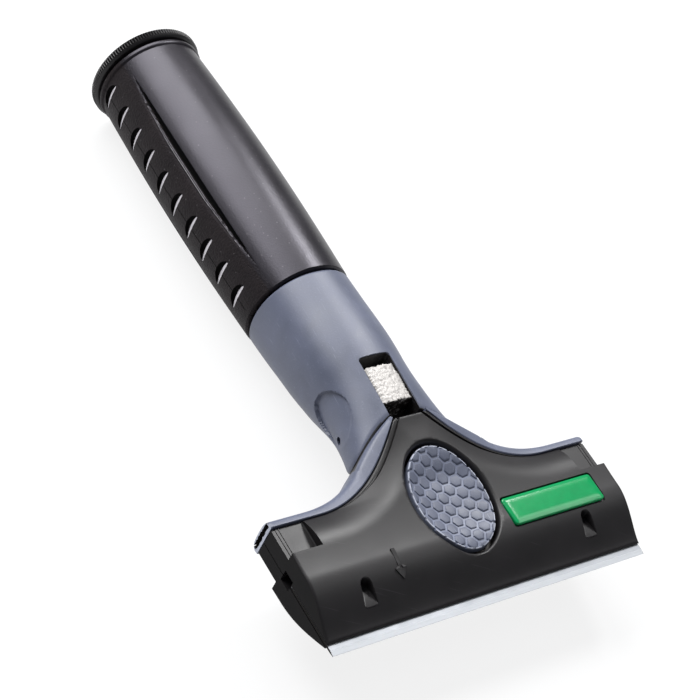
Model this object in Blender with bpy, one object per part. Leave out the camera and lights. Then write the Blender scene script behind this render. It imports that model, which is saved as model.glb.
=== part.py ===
# Hand scraper: a long steel blade held in a two-shell head, on a straight round handle.
# Sizes are in metres. Pieces are drawn in the tool's own frame: X along the blade, Y from the
# middle of the blade's edge along the handle's axis to the cap, Z out of the front of the head.
# A datum empty lays the tool on its back, centred over the origin, with its lowest point at Z = 0.

import math

import bmesh
import bpy
from mathutils import Vector

# Fits
CLEARANCE = 0.0003
OVERRUN = 0.001
STAGGER = 0.0001
SEAM = 0.0005
ROUND_SIDES = 48
SMALL_SIDES = 20

# Blade
BLADE_LENGTH = 0.100
BLADE_DEPTH = 0.020
BLADE_THICKNESS = 0.0006
BLADE_BEVEL = 0.0014
BLADE_EDGE = 0.0001
BLADE_HEIGHT = 0.0018

# Head, shared by both shells
HEAD_MARGIN = 0.0001
LIP_SETBACK = 0.0029
HEAD_TOP = 0.0330
STRAIGHT_TOP = 0.0141
TONGUE_TOP = 0.0505
TONGUE_HALF = 0.0052
REAR_TONGUE_TOP = 0.0450
CURVE_X_SHARES = (1.0, 0.545, 0.237, 0.0)
CURVE_Y_SHARES = (0.0, 0.0, 0.531, 1.0)
CURVE_STEPS = 10
LIP_THICKNESS = 0.0005
FRONT_WALL = 0.0016
REAR_WALL = 0.0012
ROLL_WIDTH = 0.009

# Front shell's face
FRONT_CREST = 0.0091
NOSE_LENGTH = 0.015
NOSE_POWER = 1.3
CROWN_RISE = 0.0046
CROWN_POWER = 1.6
FRONT_EDGE_DROP = 0.0030

# Rear shell's face
REAR_CREST = 0.0052
REAR_NOSE_LENGTH = 0.0176
REAR_FALL = 0.0011
REAR_EDGE_RISE = 0.0012

# Rows and columns of the shells' faces
COLUMN_SHARES = (0.0, 0.08, 0.16, 0.24, 0.32, 0.40, 0.49, 0.60, 0.72, 0.86, 1.0)
NOSE_ROW_SHARES = (0.0, 0.08, 0.17, 0.28, 0.40, 0.54, 0.72, 1.0)
FACE_ROW_SHARES = (0.0, 0.16, 0.30, 0.38, 0.46, 0.54, 0.62, 0.70, 0.79, 0.89, 1.0)
ROOM_ROW_SHARES = (0.0, 0.15, 0.3, 0.45, 0.6, 0.75, 0.88, 1.0)
ROOM_START = 0.0155

# End recesses in both shells
RECESS_LENGTH = 0.0089
RECESS_START = 0.0244
FRONT_RECESS_LEVEL = 0.0068
REAR_RECESS_LEVEL = 0.0022
NOTCH_DEPTH = 0.0024
NOTCH_HEIGHT = 0.0036
NOTCH_WIDTH = 0.0032

# Slanted vents in the front shell
VENT_INSET = 0.0148
VENT_FLOOR = 0.0053
VENT_BOTTOM = 0.0065
VENT_TOP = 0.0139
VENT_BOTTOM_HALF = 0.0018
VENT_TOP_HALF = 0.0012
VENT_ARC_STEPS = 6

# Badge
BADGE_INSET = 0.0070
BADGE_CENTRE_Y = 0.0188
BADGE_LENGTH = 0.0302
BADGE_WIDTH = 0.0080
BADGE_RECESS = 0.0009
BADGE_STAND = 0.0005
BADGE_BEVEL = 0.0005

# Thumb button and the clamp that it works
OVAL_CENTRE = 0.0272
OVAL_HALF_WIDTH = 0.0117
OVAL_HALF_LENGTH = 0.0156
BUTTON_GAP = 0.0009
BUTTON_TRAVEL = 0.0015
BUTTON_SINK = 0.0003
BUTTON_DISH = 0.0008
BUTTON_EDGE = 0.0007
BUTTON_RING_SHARES = (0.96, 0.8, 0.6, 0.4, 0.2)
POST_X = 0.0075
POST_Y = 0.0265
POST_RADIUS = 0.0024
POST_CLEARANCE = 0.0004
SPRING_X = 0.0052
SPRING_Y = 0.0332
SPRING_RADIUS = 0.0023
SPRING_WIRE = 0.00025
SPRING_TURNS = 4
SPRING_STEPS = 10
SPRING_SEAT = 0.0008
SPRING_LIFT = 0.0025
CLAMP_THICKNESS = 0.0014
CLAMP_INSET = 0.0101
CLAMP_BACK_SETBACK = 0.0004
CLAMP_TONGUE_HALF = 0.0120
CLAMP_TONGUE_TOP = 0.0298
PAD_THICKNESS = 0.0008
PAD_WIDTH = 0.0040
PAD_MARGIN = 0.0004
PAD_STOP_GAP = 0.0012
CLAMP_SCREW_RADIUS = 0.0009
CLAMP_SCREW_HEAD = 0.0019
CLAMP_SCREW_HEAD_THICKNESS = 0.0008
CLAMP_SCREW_LENGTH = 0.0048

# Metal core: head plate, blade stop, spine and the boss in the neck's window
PLATE_THICKNESS = 0.0018
PLATE_INSET = 0.0045
PLATE_FRONT = 0.0100
PLATE_BACK = 0.0305
PLATE_SHOULDER = 0.0240
PLATE_ROOT_HALF = 0.0096
PLATE_ROOT = 0.0410
STOP_GAP = 0.0004
STOP_WIDTH = 0.0018
STOP_DEPTH = 0.0015
STOP_HALF_GAP = 0.0140
SPINE_HALF = 0.0046
SPINE_START = 0.0306
SPINE_BACKING = 0.0035
SPINE_BOTTOM = 0.0018
SPINE_TOP = 0.0065
SPINE_STEP = 0.0520
BOSS_HALF = 0.0045
BOSS_START = 0.0557
BOSS_END = 0.0665
BOSS_SINK = 0.0006
BOSS_CROWN = 0.0004
BOSS_ARC_SHARES = ((-1, 0), (-0.5, 0.8), (0, 1), (0.5, 0.8), (1, 0))

# Cover screws
SCREW_X_SHARES = (0.72, 0.35)
SCREW_OUTER_Y = 0.0276
SCREW_INNER_Y = 0.0325
SCREW_RADIUS = 0.0012
SCREW_HEAD = 0.0023
SCREW_HEAD_THICKNESS = 0.0013
SCREW_SINK = 0.0005
SCREW_TIP = 0.0068
SCREW_DRIVE_HALF = 0.0013
SCREW_DRIVE_WIDTH = 0.0005
SCREW_DRIVE_DEPTH = 0.0008
BOSS_WALL = 0.0013

# Head frame: the two arms beside the covers
FRAME_TOP = 0.0359
FRAME_CURVE_LEAD = 0.0040
FRAME_ROOT_HALF = 0.0162
FRAME_ROOT = 0.0530
FRAME_X_SHARES = (1.0, 0.454, -0.013, 0.0)
FRAME_Y_SHARES = (0.0, 0.0, 0.386, 1.0)
FRAME_FRONT = 0.0078
FRAME_FRONT_RISE = 0.0060
FRAME_RISE_POWER = 1.2
FRAME_REAR = 0.0034
FRAME_REAR_FALL = 0.0028
FRAME_SQUARENESS = 0.6
FRAME_ARC_STEPS = 8
FRAME_PACE = 1.4
BRIDGE_HALF = 0.0095
BRIDGE_BOTTOM = 0.0052

# Crease where the frame's arms overlap the neck, an arch seen from the front
ARCH_TOP = 0.0533
ARCH_FALL = 0.0075
ARCH_HALF = 0.0163
ARCH_POWER = 1.7
ARCH_REACH_SHARE = 1.26
ARCH_STEPS = 8

# Neck
NECK_FOOT = 0.0430
NECK_RADIUS = 0.0150
NECK_Y_SHARES = (0.0, 0.10, 0.16, 0.24, 0.31, 0.38, 0.45, 0.53, 0.62, 0.72, 0.82, 0.92, 1.0)
NECK_HALF_SHARES = (1.22, 1.10, 1.03, 0.96, 0.93, 0.93, 0.95, 0.98, 1.0, 1.0, 1.0, 1.0, 1.0)
NECK_FRONT_SHARES = (0.80, 0.84, 0.87, 0.91, 0.94, 0.965, 0.99, 1.01, 1.02, 1.02, 1.01, 1.005, 1.0)
NECK_REAR_SHARES = (0.38, 0.40, 0.42, 0.44, 0.48, 0.53, 0.60, 0.67, 0.76, 0.85, 0.93, 0.98, 1.0)
NECK_SQUARENESS = 0.94
WINDOW_HALF = 0.0048
WINDOW_TOP = 0.0694
DIMPLE_Y = 0.0620
DIMPLE_Z = 0.0036
DIMPLE_DEPTH = 0.0012
DIMPLE_LENGTH = 0.0075
DIMPLE_HEIGHT = 0.0058
DIMPLE_REACH = 0.0030
DIMPLE_SIDES = 16
PIN_Y = 0.0548
PIN_Z = 0.0020
PIN_RADIUS = 0.0008
PIN_LENGTH = 0.0268

# Handle tube
SEAM_Y = 0.0993
SEAM_GAP = 0.0007
TUBE_RADIUS = 0.0126
TUBE_BORE = 0.0110
SOCKET_DEPTH = 0.0093
STORE_REACH = 0.0075
HANDLE_END = 0.1865

# Grip
GRIP_FOOT_RADIUS = 0.0154
GRIP_TOP_RADIUS = 0.01515
GRIP_EDGE = 0.0005
GRIP_LIP = 0.0003
GRIP_LIP_LENGTH = 0.0016
SLOT_COUNT = 10
SLOT_FOOT_GAP = 0.0069
SLOT_TOP_GAP = 0.00434
SLOT_HALF = 0.0042
SLOT_WIDTH = 0.0024
SLOT_DEPTH = 0.0013
SLOT_RAMP = 0.0003
SLOT_ARC_STEPS = 6
CREASE_ANGLES = (39.0, 141.0, 219.0, 321.0)
CREASE_FOOT_GAP = 0.0085
CREASE_TOP_GAP = 0.0062
CREASE_WIDTH = 0.0030
CREASE_DEPTH = 0.0009
CREASE_STEEP_SHARE = 0.25
CREASE_Y_SHARES = (0.0, 0.12, 0.35, 0.65, 0.88, 1.0)
CREASE_SIZE_SHARES = (0.08, 0.55, 1.0, 1.0, 0.55, 0.08)

# Cap, its thread and its seal
CAP_RADIUS = 0.0166
CAP_STANDOFF = 0.0014
CAP_THICKNESS = 0.0026
CAP_CHAMFER = 0.0007
CAP_RIB_COUNT = 60
CAP_RIB_DEPTH = 0.0002
CAP_DISH_RADIUS = 0.0120
CAP_DISH_DEPTH = 0.0006
COIN_SLOT_HALF = 0.0080
COIN_SLOT_WIDTH = 0.0020
COIN_SLOT_DEPTH = 0.0016
PLUG_RADIUS = 0.01005
PLUG_LENGTH = 0.0094
THREAD_PITCH = 0.0030
THREAD_TURNS = 2
THREAD_STEPS = 24
THREAD_WIDTH = 0.0011
THREAD_CREST_WIDTH = 0.0007
PLUG_THREAD_CREST = 0.0107
TUBE_THREAD_CREST = 0.0104
THREAD_ROOT_SINK = 0.0002
THREAD_INSET = 0.0012
SEAL_INNER = 0.0109
SEAL_OUTER = 0.0129
SEAL_EDGE = 0.0002

# Sizes that follow from the ones above
HALF = 0.5
HEAD_HALF = BLADE_LENGTH * HALF + HEAD_MARGIN
HEAD_LENGTH = HEAD_HALF * 2
CURVE_START = HEAD_HALF - STRAIGHT_TOP
FRAME_CURVE_START = CURVE_START + FRAME_CURVE_LEAD
RECESS_HALF = HEAD_HALF - RECESS_LENGTH
VENT_CENTRE = HEAD_HALF - VENT_INSET
BADGE_CENTRE_X = HEAD_HALF - BADGE_INSET - BADGE_LENGTH * HALF
PLATE_HALF = HEAD_HALF - PLATE_INSET
CLAMP_HALF = HEAD_HALF - CLAMP_INSET
SOCKET_START = SEAM_Y - SOCKET_DEPTH
STORE_START = SOCKET_START - STORE_REACH
SPINE_END = STORE_START - SPINE_BACKING
SLOT_FIRST = SEAM_Y + SLOT_FOOT_GAP
SLOT_LAST = HANDLE_END - SLOT_TOP_GAP
SLOT_PITCH = (SLOT_LAST - SLOT_FIRST) / (SLOT_COUNT - 1)
CREASE_FOOT = SEAM_Y + CREASE_FOOT_GAP
CREASE_TOP = HANDLE_END - CREASE_TOP_GAP
CAP_START = HANDLE_END + CAP_STANDOFF
CAP_END = CAP_START + CAP_THICKNESS
BLADE_TOP = BLADE_HEIGHT + BLADE_THICKNESS * HALF
BLADE_BOTTOM = BLADE_HEIGHT - BLADE_THICKNESS * HALF
SLOT_CEILING = BLADE_TOP + CLEARANCE
SLOT_SOLE = BLADE_BOTTOM - CLEARANCE
STOP_FACE = BLADE_DEPTH + STOP_GAP
PAD_FRONT = STOP_FACE - PAD_STOP_GAP - PAD_WIDTH
CLAMP_FRONT = PAD_FRONT - PAD_MARGIN
CLAMP_BACK = STOP_FACE - CLAMP_BACK_SETBACK
FRONT_SPLIT = BLADE_HEIGHT + CLEARANCE * HALF
REAR_SPLIT = BLADE_HEIGHT - CLEARANCE * HALF
FRONT_LIP = SLOT_CEILING + LIP_THICKNESS
REAR_LIP = SLOT_SOLE - LIP_THICKNESS
PLATE_TOP = SLOT_CEILING + PLATE_THICKNESS
PAD_TOP = BLADE_BOTTOM - CLEARANCE
PAD_BOTTOM = PAD_TOP - PAD_THICKNESS
CLAMP_TOP = PAD_BOTTOM - CLEARANCE
CLAMP_BOTTOM = CLAMP_TOP - CLAMP_THICKNESS
BUTTON_BOTTOM = PLATE_TOP + BUTTON_TRAVEL + CLEARANCE
BADGE_FLOOR = FRONT_CREST - BADGE_RECESS
OVERALL_LENGTH = CAP_END
THREAD_START = HANDLE_END - THREAD_INSET - THREAD_PITCH * (THREAD_TURNS + HALF)


def clear_scene():
    for item in list(bpy.data.objects):
        bpy.data.objects.remove(item, do_unlink=True)


def make_look(name, colour, roughness, metallic=0.0):
    look = bpy.data.materials.new(name)
    look.use_nodes = True
    shader = look.node_tree.nodes["Principled BSDF"]
    shader.inputs["Base Color"].default_value = (*colour, 1.0)
    shader.inputs["Roughness"].default_value = roughness
    shader.inputs["Metallic"].default_value = metallic
    return look


def add_empty(name, place, parent=None):
    empty = bpy.data.objects.new(name, None)
    bpy.context.scene.collection.objects.link(empty)
    empty.location = place
    empty.parent = parent
    return empty


def add_object(name, shape, group, look=None):
    """Turns a shape drawn in the tool's frame into an object of a group, whose empty is its origin."""
    anchor = group.location if group.parent else Vector((0, 0, 0))
    bmesh.ops.translate(shape, verts=shape.verts, vec=-anchor)
    bmesh.ops.recalc_face_normals(shape, faces=shape.faces)
    mesh = bpy.data.meshes.new(name)
    shape.to_mesh(mesh)
    shape.free()
    item = bpy.data.objects.new(name, mesh)
    bpy.context.scene.collection.objects.link(item)
    item.parent = group
    if look:
        mesh.materials.append(look)
        mesh.shade_smooth()
        mesh.set_sharp_from_angle(angle=math.radians(35))
    return item


def add_tool(name, shape, group):
    """A cutter or a filler for a Boolean, which the finished model leaves out."""
    item = add_object(name, shape, group)
    item.hide_render = True
    item.display_type = "WIRE"
    return item


def change(item, tool, operation):
    step = item.modifiers.new(operation.lower() + "_" + tool.name, "BOOLEAN")
    step.operation = operation
    step.object = tool


def cut(item, *tools):
    for tool in tools:
        change(item, tool, "DIFFERENCE")


def fuse(item, *tools):
    for tool in tools:
        change(item, tool, "UNION")


def loft(rings, shape=None):
    """One closed body through rings of as many points each, with a flat cap at both ends."""
    shape = shape or bmesh.new()
    rows = [[shape.verts.new(point) for point in ring] for ring in rings]
    count = len(rows[0])
    for near, far in zip(rows, rows[1:]):
        for i in range(count):
            j = (i + 1) % count
            shape.faces.new((near[i], near[j], far[j], far[i]))
    shape.faces.new(rows[0][::-1])
    shape.faces.new(rows[-1])
    return shape


def prism(outline, low, high, shape=None):
    """An outline of (x, y) points drawn up from one height to another."""
    return loft([[(x, y, low) for x, y in outline], [(x, y, high) for x, y in outline]], shape)


def box(low, high, shape=None):
    outline = [(low[0], low[1]), (high[0], low[1]), (high[0], high[1]), (low[0], high[1])]
    return prism(outline, low[2], high[2], shape)


def circle(radius, sides, centre=(0, 0)):
    angles = [math.tau * i / sides for i in range(sides)]
    return [(centre[0] + radius * math.cos(a), centre[1] + radius * math.sin(a)) for a in angles]


def rod(radius, start, end, sides=ROUND_SIDES, shape=None):
    """A cylinder on the handle's axis."""
    outline = circle(radius, sides)
    return loft([[(x, start, z) for x, z in outline], [(x, end, z) for x, z in outline]], shape)


def turned(profile, sides=ROUND_SIDES):
    """A ring-shaped body: a closed profile of (radius, y) points turned round the handle's axis."""
    shape = bmesh.new()
    rows = []
    for i in range(sides):
        angle = math.tau * i / sides
        rows.append([shape.verts.new((r * math.cos(angle), y, r * math.sin(angle))) for r, y in profile])
    count = len(profile)
    for i in range(sides):
        near = rows[i]
        far = rows[(i + 1) % sides]
        for j in range(count):
            k = (j + 1) % count
            shape.faces.new((near[j], near[k], far[k], far[j]))
    return shape


def bezier(points, t):
    """A point at share t of a cubic curve through its first and last points."""
    a, b, c, d = points
    s = 1 - t
    return [s ** 3 * a[i] + 3 * s * s * t * b[i] + 3 * s * t * t * c[i] + t ** 3 * d[i] for i in (0, 1)]


def arm_curve(start, end, x_shares, y_shares, pace=1):
    """The curve from the head's straight top edge, at start, up to the neck, at end."""
    points = []
    for x_share, y_share in zip(x_shares, y_shares):
        x = end[0] + (start[0] - end[0]) * x_share
        y = start[1] + (end[1] - start[1]) * y_share
        points.append((x, y))
    return [bezier(points, (i / CURVE_STEPS) ** pace) for i in range(CURVE_STEPS + 1)]


def cover_curve(offset=0, pace=1):
    start = (CURVE_START, HEAD_TOP + offset)
    end = (TONGUE_HALF + offset, TONGUE_TOP + offset)
    return arm_curve(start, end, CURVE_X_SHARES, CURVE_Y_SHARES, pace)


COVER_EDGE = [(HEAD_HALF, HEAD_TOP)] + cover_curve() + [(0, TONGUE_TOP)]


def mirrored(right):
    """A closed outline from its right half, given from the bottom up."""
    return right + [(-x, y) for x, y in reversed(right) if x > 0]


def cover_outline():
    return mirrored([(HEAD_HALF, LIP_SETBACK), (HEAD_HALF, HEAD_TOP)] + cover_curve())


def inset(outline, distance):
    """A closed outline, run anticlockwise, drawn in by a distance."""
    result = []
    count = len(outline)
    for i in range(count):
        before = Vector(outline[i]) - Vector(outline[i - 1])
        after = Vector(outline[(i + 1) % count]) - Vector(outline[i])
        inward = Vector((-before.y, before.x)).normalized() + Vector((-after.y, after.x)).normalized()
        inward.normalize()
        along = Vector((-before.y, before.x)).normalized().dot(inward)
        point = Vector(outline[i]) + inward * distance / along
        result.append((point.x, point.y))
    return result


def edge_distance(x, y):
    """How far a place on the head lies inside the covers' top edge."""
    place = Vector((abs(x), y))
    best = ROLL_WIDTH
    inside = False
    for a, b in zip(COVER_EDGE, COVER_EDGE[1:]):
        low = Vector(a)
        run = Vector(b) - low
        share = min(1, max(0, (place - low).dot(run) / run.length_squared))
        gap = place - low - run * share
        if gap.length < best:
            best = gap.length
            inside = run.x * gap.y - run.y * gap.x > 0
    return best if inside or best == ROLL_WIDTH else 0


def roll(x, y):
    """1 at the covers' top edge, falling to 0 where the face has rolled over into its flat."""
    lift = min(1, max(0, (y - HEAD_TOP) / (TONGUE_TOP - HEAD_TOP)))
    return (1 - edge_distance(x, y) / ROLL_WIDTH) ** 2 * (1 - lift)


def front_height(x, y):
    nose = min(1, max(0, (y - LIP_SETBACK) / NOSE_LENGTH))
    rise = math.sin(math.pi * HALF * nose) ** NOSE_POWER
    nose_end = LIP_SETBACK + NOSE_LENGTH
    crown = max(0, (y - nose_end) / (TONGUE_TOP - nose_end)) ** CROWN_POWER
    height = FRONT_LIP + (FRONT_CREST - FRONT_LIP) * rise + CROWN_RISE * crown
    return height - FRONT_EDGE_DROP * roll(x, y)


def rear_height(x, y):
    nose = min(1, max(0, (y - LIP_SETBACK) / REAR_NOSE_LENGTH))
    drop = math.sin(math.pi * HALF * nose)
    nose_end = LIP_SETBACK + REAR_NOSE_LENGTH
    fall = max(0, (y - nose_end) / (TONGUE_TOP - nose_end))
    depth = REAR_LIP - (REAR_LIP + REAR_CREST) * drop - REAR_FALL * fall
    return depth + REAR_EDGE_RISE * roll(x, y)


def spread(low, high, shares):
    return [low + (high - low) * share for share in shares]


def slab(height, level, half, rows):
    """A block whose one face is the plane at level and whose other face follows height(x, y)."""
    right = spread(0, half, COLUMN_SHARES)
    columns = [-x for x in reversed(right[1:])] + right
    shape = bmesh.new()
    grid = [[shape.verts.new((x, y, height(x, y))) for x in columns] for y in rows]
    for near, far in zip(grid, grid[1:]):
        for i in range(len(columns) - 1):
            shape.faces.new((near[i], near[i + 1], far[i + 1], far[i]))
    rim = grid[0][:-1] + [row[-1] for row in grid[:-1]]
    rim += grid[-1][:0:-1] + [row[0] for row in grid[:0:-1]]
    base = [shape.verts.new((*point.co.xy, level)) for point in rim]
    for i in range(len(rim)):
        shape.faces.new((rim[i - 1], rim[i], base[i], base[i - 1]))
    shape.faces.new(base)
    bmesh.ops.triangulate(shape, faces=shape.faces)
    return shape


def face_rows(nose_length, top):
    nose_end = LIP_SETBACK + nose_length
    rows = spread(LIP_SETBACK - CLEARANCE, nose_end, NOSE_ROW_SHARES)
    return rows + spread(nose_end, top, FACE_ROW_SHARES)[1:]


def room_ceiling(x, y):
    return front_height(x, y) - FRONT_WALL


def room_floor(x, y):
    return rear_height(x, y) + REAR_WALL


def add_room(name, block, wall, recess, group):
    """The inside of a shell: a block within the shell's walls, less the walls round its end recesses."""
    room = add_tool(name, block, group)
    outline = prism(inset(cover_outline(), wall), -HEAD_HALF, HEAD_HALF)
    change(room, add_tool(name + "_outline", outline, group), "INTERSECT")
    low = (RECESS_HALF - wall, RECESS_START - wall, recess[0])
    cut(room, add_tool(name + "_recess_walls", both_sides(low, (HEAD_LENGTH, HEAD_LENGTH, recess[1])), group))
    return room


def both_sides(low, high, shape=None):
    """A box on the right and its mirror image on the left."""
    shape = box(low, high, shape)
    return box((-high[0], low[1], low[2]), (-low[0], high[1], high[2]), shape)


def screw_places():
    outer, inner = [HEAD_HALF * share for share in SCREW_X_SHARES]
    right = [(outer, SCREW_OUTER_Y), (inner, SCREW_INNER_Y)]
    return right + [(-x, y) for x, y in right]


def rods(places, radius, low, high, sides=SMALL_SIDES):
    shape = bmesh.new()
    for place in places:
        prism(circle(radius, sides, place), low, high, shape)
    return shape


def add_blade_slot(group):
    low = (-HEAD_LENGTH, -OVERRUN, SLOT_SOLE)
    return add_tool("blade_slot", box(low, (HEAD_LENGTH, STOP_FACE, SLOT_CEILING)), group)


def add_end_notches(group):
    low = (HEAD_HALF - NOTCH_DEPTH, STOP_FACE - CLEARANCE, BLADE_HEIGHT - NOTCH_HEIGHT * HALF)
    high = (HEAD_HALF + OVERRUN, STOP_FACE + NOTCH_WIDTH, BLADE_HEIGHT + NOTCH_HEIGHT * HALF)
    return add_tool("end_notches", both_sides(low, high), group)


def add_spine_way(group):
    """Room for the metal core's spine, through the covers' top walls and up the neck."""
    half = SPINE_HALF + CLEARANCE
    low = (-half, SPINE_START - CLEARANCE, -SPINE_BOTTOM - CLEARANCE)
    return add_tool("spine_way", box(low, (half, SPINE_STEP, PLATE_TOP + CLEARANCE)), group)


def oval(half_width, half_length, sides=ROUND_SIDES):
    ring = circle(1, sides)
    return [(half_width * x, OVAL_CENTRE + half_length * y) for x, y in ring]


def add_front_cover(group, look, shared):
    rows = face_rows(NOSE_LENGTH, TONGUE_TOP + CLEARANCE)
    block = slab(front_height, FRONT_SPLIT, HEAD_HALF + CLEARANCE, rows)
    shell = add_object("front_cover", block, group, look)
    ceiling = FRONT_CREST + CROWN_RISE + OVERRUN
    outline = add_tool("front_outline", prism(cover_outline(), -OVERRUN, ceiling), group)
    change(shell, outline, "INTERSECT")

    inner_rows = spread(ROOM_START, TONGUE_TOP, ROOM_ROW_SHARES)
    block = slab(room_ceiling, FRONT_SPLIT - OVERRUN, HEAD_HALF, inner_rows)
    recess = (FRONT_RECESS_LEVEL - FRONT_WALL, HEAD_LENGTH)
    room = add_room("front_room", block, FRONT_WALL, recess, group)
    half = PLATE_HALF + CLEARANCE
    low = (-half, PLATE_FRONT - CLEARANCE, FRONT_SPLIT - OVERRUN)
    plate_way = box(low, (half, ROOM_START + OVERRUN, PLATE_TOP + CLEARANCE))
    cut(shell, room, add_tool("plate_way", plate_way, group))

    radius = SCREW_RADIUS + CLEARANCE + BOSS_WALL
    posts = rods(screw_places(), radius, PLATE_TOP + CLEARANCE, FRONT_CREST - FRONT_WALL * HALF)
    fuse(shell, add_tool("front_bosses", posts, group))
    holes = rods(screw_places(), SCREW_RADIUS + CLEARANCE, PLATE_TOP - OVERRUN, SCREW_TIP + CLEARANCE)
    cut(shell, add_tool("front_screw_holes", holes, group))

    opening = prism(oval(OVAL_HALF_WIDTH, OVAL_HALF_LENGTH), -OVERRUN, ceiling)
    cut(shell, add_tool("oval_opening", opening, group))
    low = (RECESS_HALF, RECESS_START, FRONT_RECESS_LEVEL)
    high = (HEAD_LENGTH, HEAD_LENGTH, HEAD_LENGTH)
    cut(shell, add_tool("front_recesses", both_sides(low, high), group))
    cut(shell, add_tool("badge_recess", badge_block(CLEARANCE, BADGE_FLOOR, ceiling), group))
    cut(shell, add_tool("vents", vents(ceiling), group))
    cut(shell, shared["blade_slot"], shared["end_notches"], shared["spine_way"])
    return shell


def vents(top):
    """Two slanted openings, rounded at the top and wider towards the lips, with a level floor."""
    shape = bmesh.new()
    reach = VENT_TOP - VENT_TOP_HALF
    for side in (-1, 1):
        arc = [math.pi * i / VENT_ARC_STEPS for i in range(VENT_ARC_STEPS + 1)]
        outline = [(VENT_TOP_HALF * math.cos(a), reach + VENT_TOP_HALF * math.sin(a)) for a in arc]
        outline += [(-VENT_BOTTOM_HALF, VENT_BOTTOM), (VENT_BOTTOM_HALF, VENT_BOTTOM)]
        prism([(side * VENT_CENTRE + x, y) for x, y in outline], VENT_FLOOR, top, shape)
    return shape


def badge_block(grow, low, high):
    half_x = BADGE_LENGTH * HALF + grow
    half_y = BADGE_WIDTH * HALF + grow
    corner = (BADGE_CENTRE_X - half_x, BADGE_CENTRE_Y - half_y, low)
    return box(corner, (BADGE_CENTRE_X + half_x, BADGE_CENTRE_Y + half_y, high))


def add_badge(group, look):
    shape = badge_block(0, BADGE_FLOOR + CLEARANCE, FRONT_CREST + BADGE_STAND)
    plate = add_object("badge", shape, group, look)
    edge = plate.modifiers.new("edge", "BEVEL")
    edge.width = BADGE_BEVEL
    edge.segments = 2
    return plate


def add_rear_cover(group, look, shared):
    rows = face_rows(REAR_NOSE_LENGTH, TONGUE_TOP + CLEARANCE)
    block = slab(rear_height, REAR_SPLIT, HEAD_HALF + CLEARANCE, rows)
    shell = add_object("rear_cover", block, group, look)
    floor = -REAR_CREST - REAR_FALL - OVERRUN
    outline = add_tool("rear_outline", prism(cover_outline(), floor, HEAD_TOP), group)
    change(shell, outline, "INTERSECT")
    low = (-HEAD_LENGTH, REAR_TONGUE_TOP, floor)
    cut(shell, add_tool("rear_tongue_end", box(low, (HEAD_LENGTH, HEAD_LENGTH, HEAD_TOP)), group))

    inner_rows = spread(PLATE_FRONT, REAR_TONGUE_TOP - REAR_WALL, ROOM_ROW_SHARES)
    block = slab(room_floor, REAR_SPLIT + OVERRUN, HEAD_HALF, inner_rows)
    recess = (-HEAD_LENGTH, REAR_WALL - REAR_RECESS_LEVEL)
    cut(shell, add_room("rear_room", block, REAR_WALL, recess, group))

    post_top = SLOT_CEILING - CLEARANCE
    radius = SCREW_HEAD + CLEARANCE + BOSS_WALL * HALF
    posts = rods(screw_places(), radius, REAR_WALL * HALF - REAR_CREST, post_top)
    fuse(shell, add_tool("rear_bosses", posts, group))
    holes = rods(screw_places(), SCREW_RADIUS + CLEARANCE, floor, HEAD_TOP)
    cut(shell, add_tool("rear_screw_holes", holes, group))
    heads = bmesh.new()
    for place in screw_places():
        seat = rear_height(*place) + SCREW_SINK + SCREW_HEAD_THICKNESS + CLEARANCE
        prism(circle(SCREW_HEAD + CLEARANCE, SMALL_SIDES, place), floor, seat, heads)
    cut(shell, add_tool("rear_head_sinks", heads, group))

    low = (RECESS_HALF, RECESS_START, -HEAD_LENGTH)
    high = (HEAD_LENGTH, HEAD_LENGTH, -REAR_RECESS_LEVEL)
    cut(shell, add_tool("rear_recesses", both_sides(low, high), group))
    cut(shell, shared["blade_slot"], shared["end_notches"], shared["spine_way"])
    return shell


def cross_outline():
    long = SCREW_DRIVE_HALF
    narrow = SCREW_DRIVE_WIDTH * HALF
    corner = [(long, -narrow), (long, narrow), (narrow, narrow)]
    outline = []
    for turn in range(4):
        outline += corner
        corner = [(-y, x) for x, y in corner]
    return outline


def add_cover_screws(group, look):
    for number, (x, y) in enumerate(screw_places(), 1):
        head_low = rear_height(x, y) + SCREW_SINK
        head_high = head_low + SCREW_HEAD_THICKNESS
        rings = [(SCREW_HEAD, head_low), (SCREW_HEAD, head_high)]
        rings += [(SCREW_RADIUS, head_high), (SCREW_RADIUS, SCREW_TIP)]
        shape = loft([[(px, py, z) for px, py in circle(r, SMALL_SIDES, (x, y))] for r, z in rings])
        screw = add_object("cover_screw_%d" % number, shape, group, look)
        top = head_low + SCREW_DRIVE_DEPTH
        drive = prism([(x + dx, y + dy) for dx, dy in cross_outline()], head_low - OVERRUN, top)
        cut(screw, add_tool("screw_drive_%d" % number, drive, group))


def arch_outline(offset):
    """The region below the crease between the arms and the neck, seen from the front."""
    half = ARCH_HALF * ARCH_REACH_SHARE
    right = []
    for i in range(ARCH_STEPS + 1):
        x = half * i / ARCH_STEPS
        right.append((x, ARCH_TOP + offset - ARCH_FALL * (x / ARCH_HALF) ** ARCH_POWER))
    outer = [(HEAD_HALF + OVERRUN, 0), (HEAD_HALF + OVERRUN, FRAME_ROOT), (half, FRAME_ROOT)]
    return mirrored(outer + right[::-1])


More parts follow.
